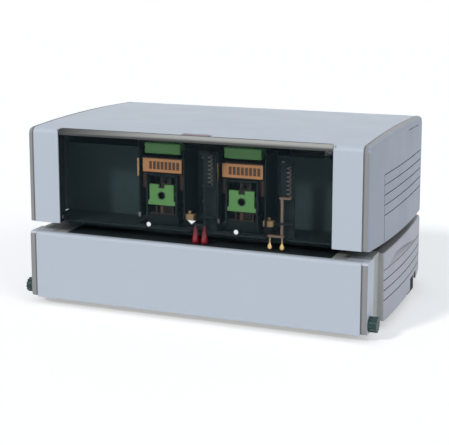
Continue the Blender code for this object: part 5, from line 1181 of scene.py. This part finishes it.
class STAPLER_OT_screws(Operator):
    """Add the screws of the base, of the cross plate and of the rear covers"""
    bl_idname = "stapler.screws"
    bl_label = "Screws"

    base_x = (-0.155, 0.0, 0.155)
    base_y = (-0.085, 0.105)
    plate_out = (-0.036, 0.036)
    plate_z = (0.128, 0.182)
    upper_rear_x = (-0.192, 0.192)
    upper_rear_z = (0.110, 0.196)
    lower_rear_x = (-0.190, 0.0, 0.190)
    lower_rear_z = (0.024, 0.078)

    def execute(self, context):
        floor = box_of("base_pan")[0].z
        places = [(x, y, floor) for x in self.base_x for y in self.base_y]
        screws("base_screws", places, AIM_DOWN, scale=1.15)
        front = box_of("head_mounting_plate")[0].y
        places = [(x + out, front, z)
                  for x in HEAD_X.values() for out in self.plate_out for z in self.plate_z]
        screws("cross_plate_screws", places, AIM_FRONT, scale=0.8)
        back = box_of("upper_rear_cover")[1].y
        places = [(x, back, z) for x in self.upper_rear_x for z in self.upper_rear_z]
        places += [(x, back, z) for x in self.lower_rear_x for z in self.lower_rear_z]
        screws("rear_screws", places, AIM_BACK, scale=0.9)
        return {"FINISHED"}


class STAPLER_OT_rear(Operator):
    """Add the dust screen behind the vents and the marks on the mains rocker"""
    bl_idname = "stapler.rear"
    bl_label = "Rear fittings"

    screen_half = 0.0680
    screen_span = (0.1225, 0.1655)
    screen_thickness = 0.0014
    screen_rim = 0.0020
    screen_dish = 0.0004
    # The rocker's face lies a little inside its box, and the marks are sunk in it
    face_inset = 0.0005
    bar_half = 0.0004
    bar_span = (0.0030, 0.0066)
    bar_sunk = 0.0004
    bar_proud = 0.0001
    ring_sunk = 0.0010
    ring_drop = 0.0050
    ring_radius = 0.0016
    ring_wire = 0.00035

    def execute(self, context):
        self.add_screen()
        self.add_switch_marks()
        return {"FINISHED"}

    def add_screen(self):
        inner = box_of("upper_rear_cover")[0].y
        foot, top = self.screen_span
        screen = block((-self.screen_half, inner - self.screen_thickness, foot),
                       (self.screen_half, inner, top), bevel=0.0004)
        choose_faces(screen, lambda face: abs(face.normal.y) > SQUARELY and face.area > 0.001)
        bpy.ops.mesh.inset(thickness=self.screen_rim)
        bpy.ops.mesh.extrude_region_shrink_fatten(TRANSFORM_OT_shrink_fatten={"value": -self.screen_dish})
        settle(screen, "vent_screen", "machine", [vent_cloth()])

    def add_switch_marks(self):
        """An I over an O, moulded in white on the rocker."""
        low, high = box_of("rocker_switch")
        x = (low.x + high.x) / 2
        middle = (low.z + high.z) / 2
        face = high.y - self.face_inset
        foot, top = self.bar_span
        bar = block((x - self.bar_half, face - self.bar_sunk, middle + foot),
                    (x + self.bar_half, face + self.bar_proud, middle + top), bevel=0.0001)
        rest()
        bpy.ops.mesh.primitive_torus_add(
            major_radius=self.ring_radius, minor_radius=self.ring_wire, major_segments=28, minor_segments=8,
            location=(x, face - self.ring_sunk, middle - self.ring_drop), rotation=AIM_BACK)
        ring = bpy.context.object
        freeze(ring)
        settle(joined([bar, ring]), "switch_marks", "switch", [mark_white()])


class STAPLER_OT_inlet(Operator):
    """Add the three pins of the mains inlet"""
    bl_idname = "stapler.inlet"
    bl_label = "Inlet pins"

    pin_places = ((-0.0062, -0.0022), (0.0, 0.0030), (0.0062, -0.0022))
    pin_half = 0.0011
    pin_root = 0.0012
    pin_setback = 0.0060

    def execute(self, context):
        low, high = box_of("power_inlet")
        wide = context.scene.stapler_fittings.pin_width / 2
        middle = (low.x + high.x) / 2
        height = (low.z + high.z) / 2
        pins = [
            block((middle + x - self.pin_half, low.y + self.pin_root, height + z - wide),
                  (middle + x + self.pin_half, high.y - self.pin_setback, height + z + wide), bevel=0.0005)
            for x, z in self.pin_places]
        settle(joined(pins), "inlet_pins", "machine", [bright_steel()])
        return {"FINISHED"}


# The studio


class STAPLER_OT_stage(Operator):
    """Set the studio: pale floor, soft lights, white surroundings and the camera"""
    bl_idname = "stapler.stage"
    bl_label = "Stage"

    # Each light's direction, the angle that it spreads over in degrees, and its tint
    lights = {
        "key": ((-0.35, -0.75, 0.55), 9.0, (1.0, 0.985, 0.965)),
        "top": ((0.10, 0.20, 0.97), 50.0, (0.70, 0.87, 1.0)),
        "side": ((0.80, -0.35, 0.50), 40.0, (0.97, 0.98, 1.0)),
    }
    light_distance = 3.0
    room_tint = (0.90, 0.95, 1.0, 1.0)
    white = (1.0, 1.0, 1.0, 1.0)
    sensor = 36.0
    lens = 89.04
    lens_shift = -0.15
    nearest = 0.05
    camera_place = (0.4912, FRONT - 1.1382, 0.4067)
    camera_drop = 0.1677
    camera_turn = 0.3748

    def execute(self, context):
        stage = context.scene.stapler_stage
        self.add_floor(stage)
        self.set_world(stage)
        for name, (source, spread, tint) in self.lights.items():
            self.add_light(f"{name}_light", Vector(source), spread, getattr(stage, f"{name}_level"), tint)
        self.add_camera(context)
        context.scene.view_settings.view_transform = "Standard"
        return {"FINISHED"}

    def add_floor(self, stage):
        rest()
        bpy.ops.mesh.primitive_plane_add(size=stage.floor_size, location=(0.0, 0.0, 0.0))
        floor = bpy.context.object
        floor.name = "studio_floor"
        material = bpy.data.materials.new("studio_floor")
        material.use_nodes = True
        tree = material.node_tree
        shader = tree.nodes["Principled BSDF"]
        shader.inputs["Base Color"].default_value = (*stage.floor_colour, 1.0)
        shader.inputs["Roughness"].default_value = 0.9
        shader.inputs["Specular IOR Level"].default_value = 0.0
        shader.inputs["Emission Color"].default_value = self.white
        lift = combined(tree, "MULTIPLY", self.seen_by_camera(tree), stage.floor_lift)
        tree.links.new(lift, shader.inputs["Emission Strength"])
        floor.data.materials.append(material)

    def seen_by_camera(self, tree):
        """1 for what the camera sees straight, in a gloss or through glass."""
        rays = put(tree, "ShaderNodeLightPath").outputs
        straight = combined(tree, "MAXIMUM", rays["Is Camera Ray"], rays["Is Glossy Ray"])
        return combined(tree, "MAXIMUM", straight, rays["Is Transmission Ray"])

    def set_world(self, stage):
        world = bpy.data.worlds.new("studio")
        bpy.context.scene.world = world
        world.use_nodes = True
        tree = world.node_tree
        ambient = tree.nodes["Background"]
        ambient.inputs["Color"].default_value = self.room_tint
        ambient.inputs["Strength"].default_value = stage.room_level
        seen = put(tree, "ShaderNodeBackground", {"Color": self.white, "Strength": 1.0})
        mix = put(tree, "ShaderNodeMixShader", {
            0: self.seen_by_camera(tree), 1: ambient.outputs[0], 2: seen.outputs[0]})
        tree.links.new(mix.outputs[0], tree.nodes["World Output"].inputs["Surface"])

    def add_light(self, name, source, spread, strength, tint):
        """A wide soft light, far away in the source direction."""
        light = bpy.data.lights.new(name, "SUN")
        light.energy = strength
        light.angle = math.radians(spread)
        light.color = tint
        obj = bpy.data.objects.new(name, light)
        bpy.context.scene.collection.objects.link(obj)
        obj.location = source * self.light_distance
        obj.rotation_euler = (-source).to_track_quat("-Z", "Y").to_euler()

    def add_camera(self, context):
        camera = bpy.data.cameras.new("camera")
        camera.sensor_width = self.sensor
        camera.lens = self.lens
        camera.shift_y = self.lens_shift
        camera.clip_start = self.nearest
        obj = bpy.data.objects.new("camera", camera)
        context.scene.collection.objects.link(obj)
        obj.location = self.camera_place
        obj.rotation_euler = (math.pi / 2 - self.camera_drop, 0.0, self.camera_turn)
        context.scene.camera = obj


STEPS = (
    STAPLER_OT_stage, STAPLER_OT_covers, STAPLER_OT_window, STAPLER_OT_frame, STAPLER_OT_heads,
    STAPLER_OT_drive, STAPLER_OT_feelers, STAPLER_OT_electrics, STAPLER_OT_labels, STAPLER_OT_head_fittings,
    STAPLER_OT_window_marks, STAPLER_OT_screws, STAPLER_OT_rear, STAPLER_OT_inlet,
)


class STAPLER_PT_panel(Panel):
    """Lists the steps, and the sizes and colours they use"""
    bl_idname = "STAPLER_PT_panel"
    bl_label = "Twin-head stapler"
    bl_space_type = "VIEW_3D"
    bl_region_type = "UI"
    bl_category = "Stapler"

    def draw(self, context):
        for step in STEPS:
            self.layout.operator(step.bl_idname)
        for name, kind in SETTINGS.items():
            box = self.layout.box()
            for field in kind.__annotations__:
                box.prop(getattr(context.scene, name), field)


CLASSES = (*SETTINGS.values(), *STEPS, STAPLER_PT_panel)


def register():
    for kind in CLASSES:
        bpy.utils.register_class(kind)
    for name, kind in SETTINGS.items():
        setattr(bpy.types.Scene, name, PointerProperty(type=kind))


def unregister():
    for name in SETTINGS:
        delattr(bpy.types.Scene, name)
    for kind in reversed(CLASSES):
        bpy.utils.unregister_class(kind)


def main():
    register()
    for step in STEPS:
        group, name = step.bl_idname.split(".")
        getattr(getattr(bpy.ops, group), name)()


if __name__ == "__main__":
    main()
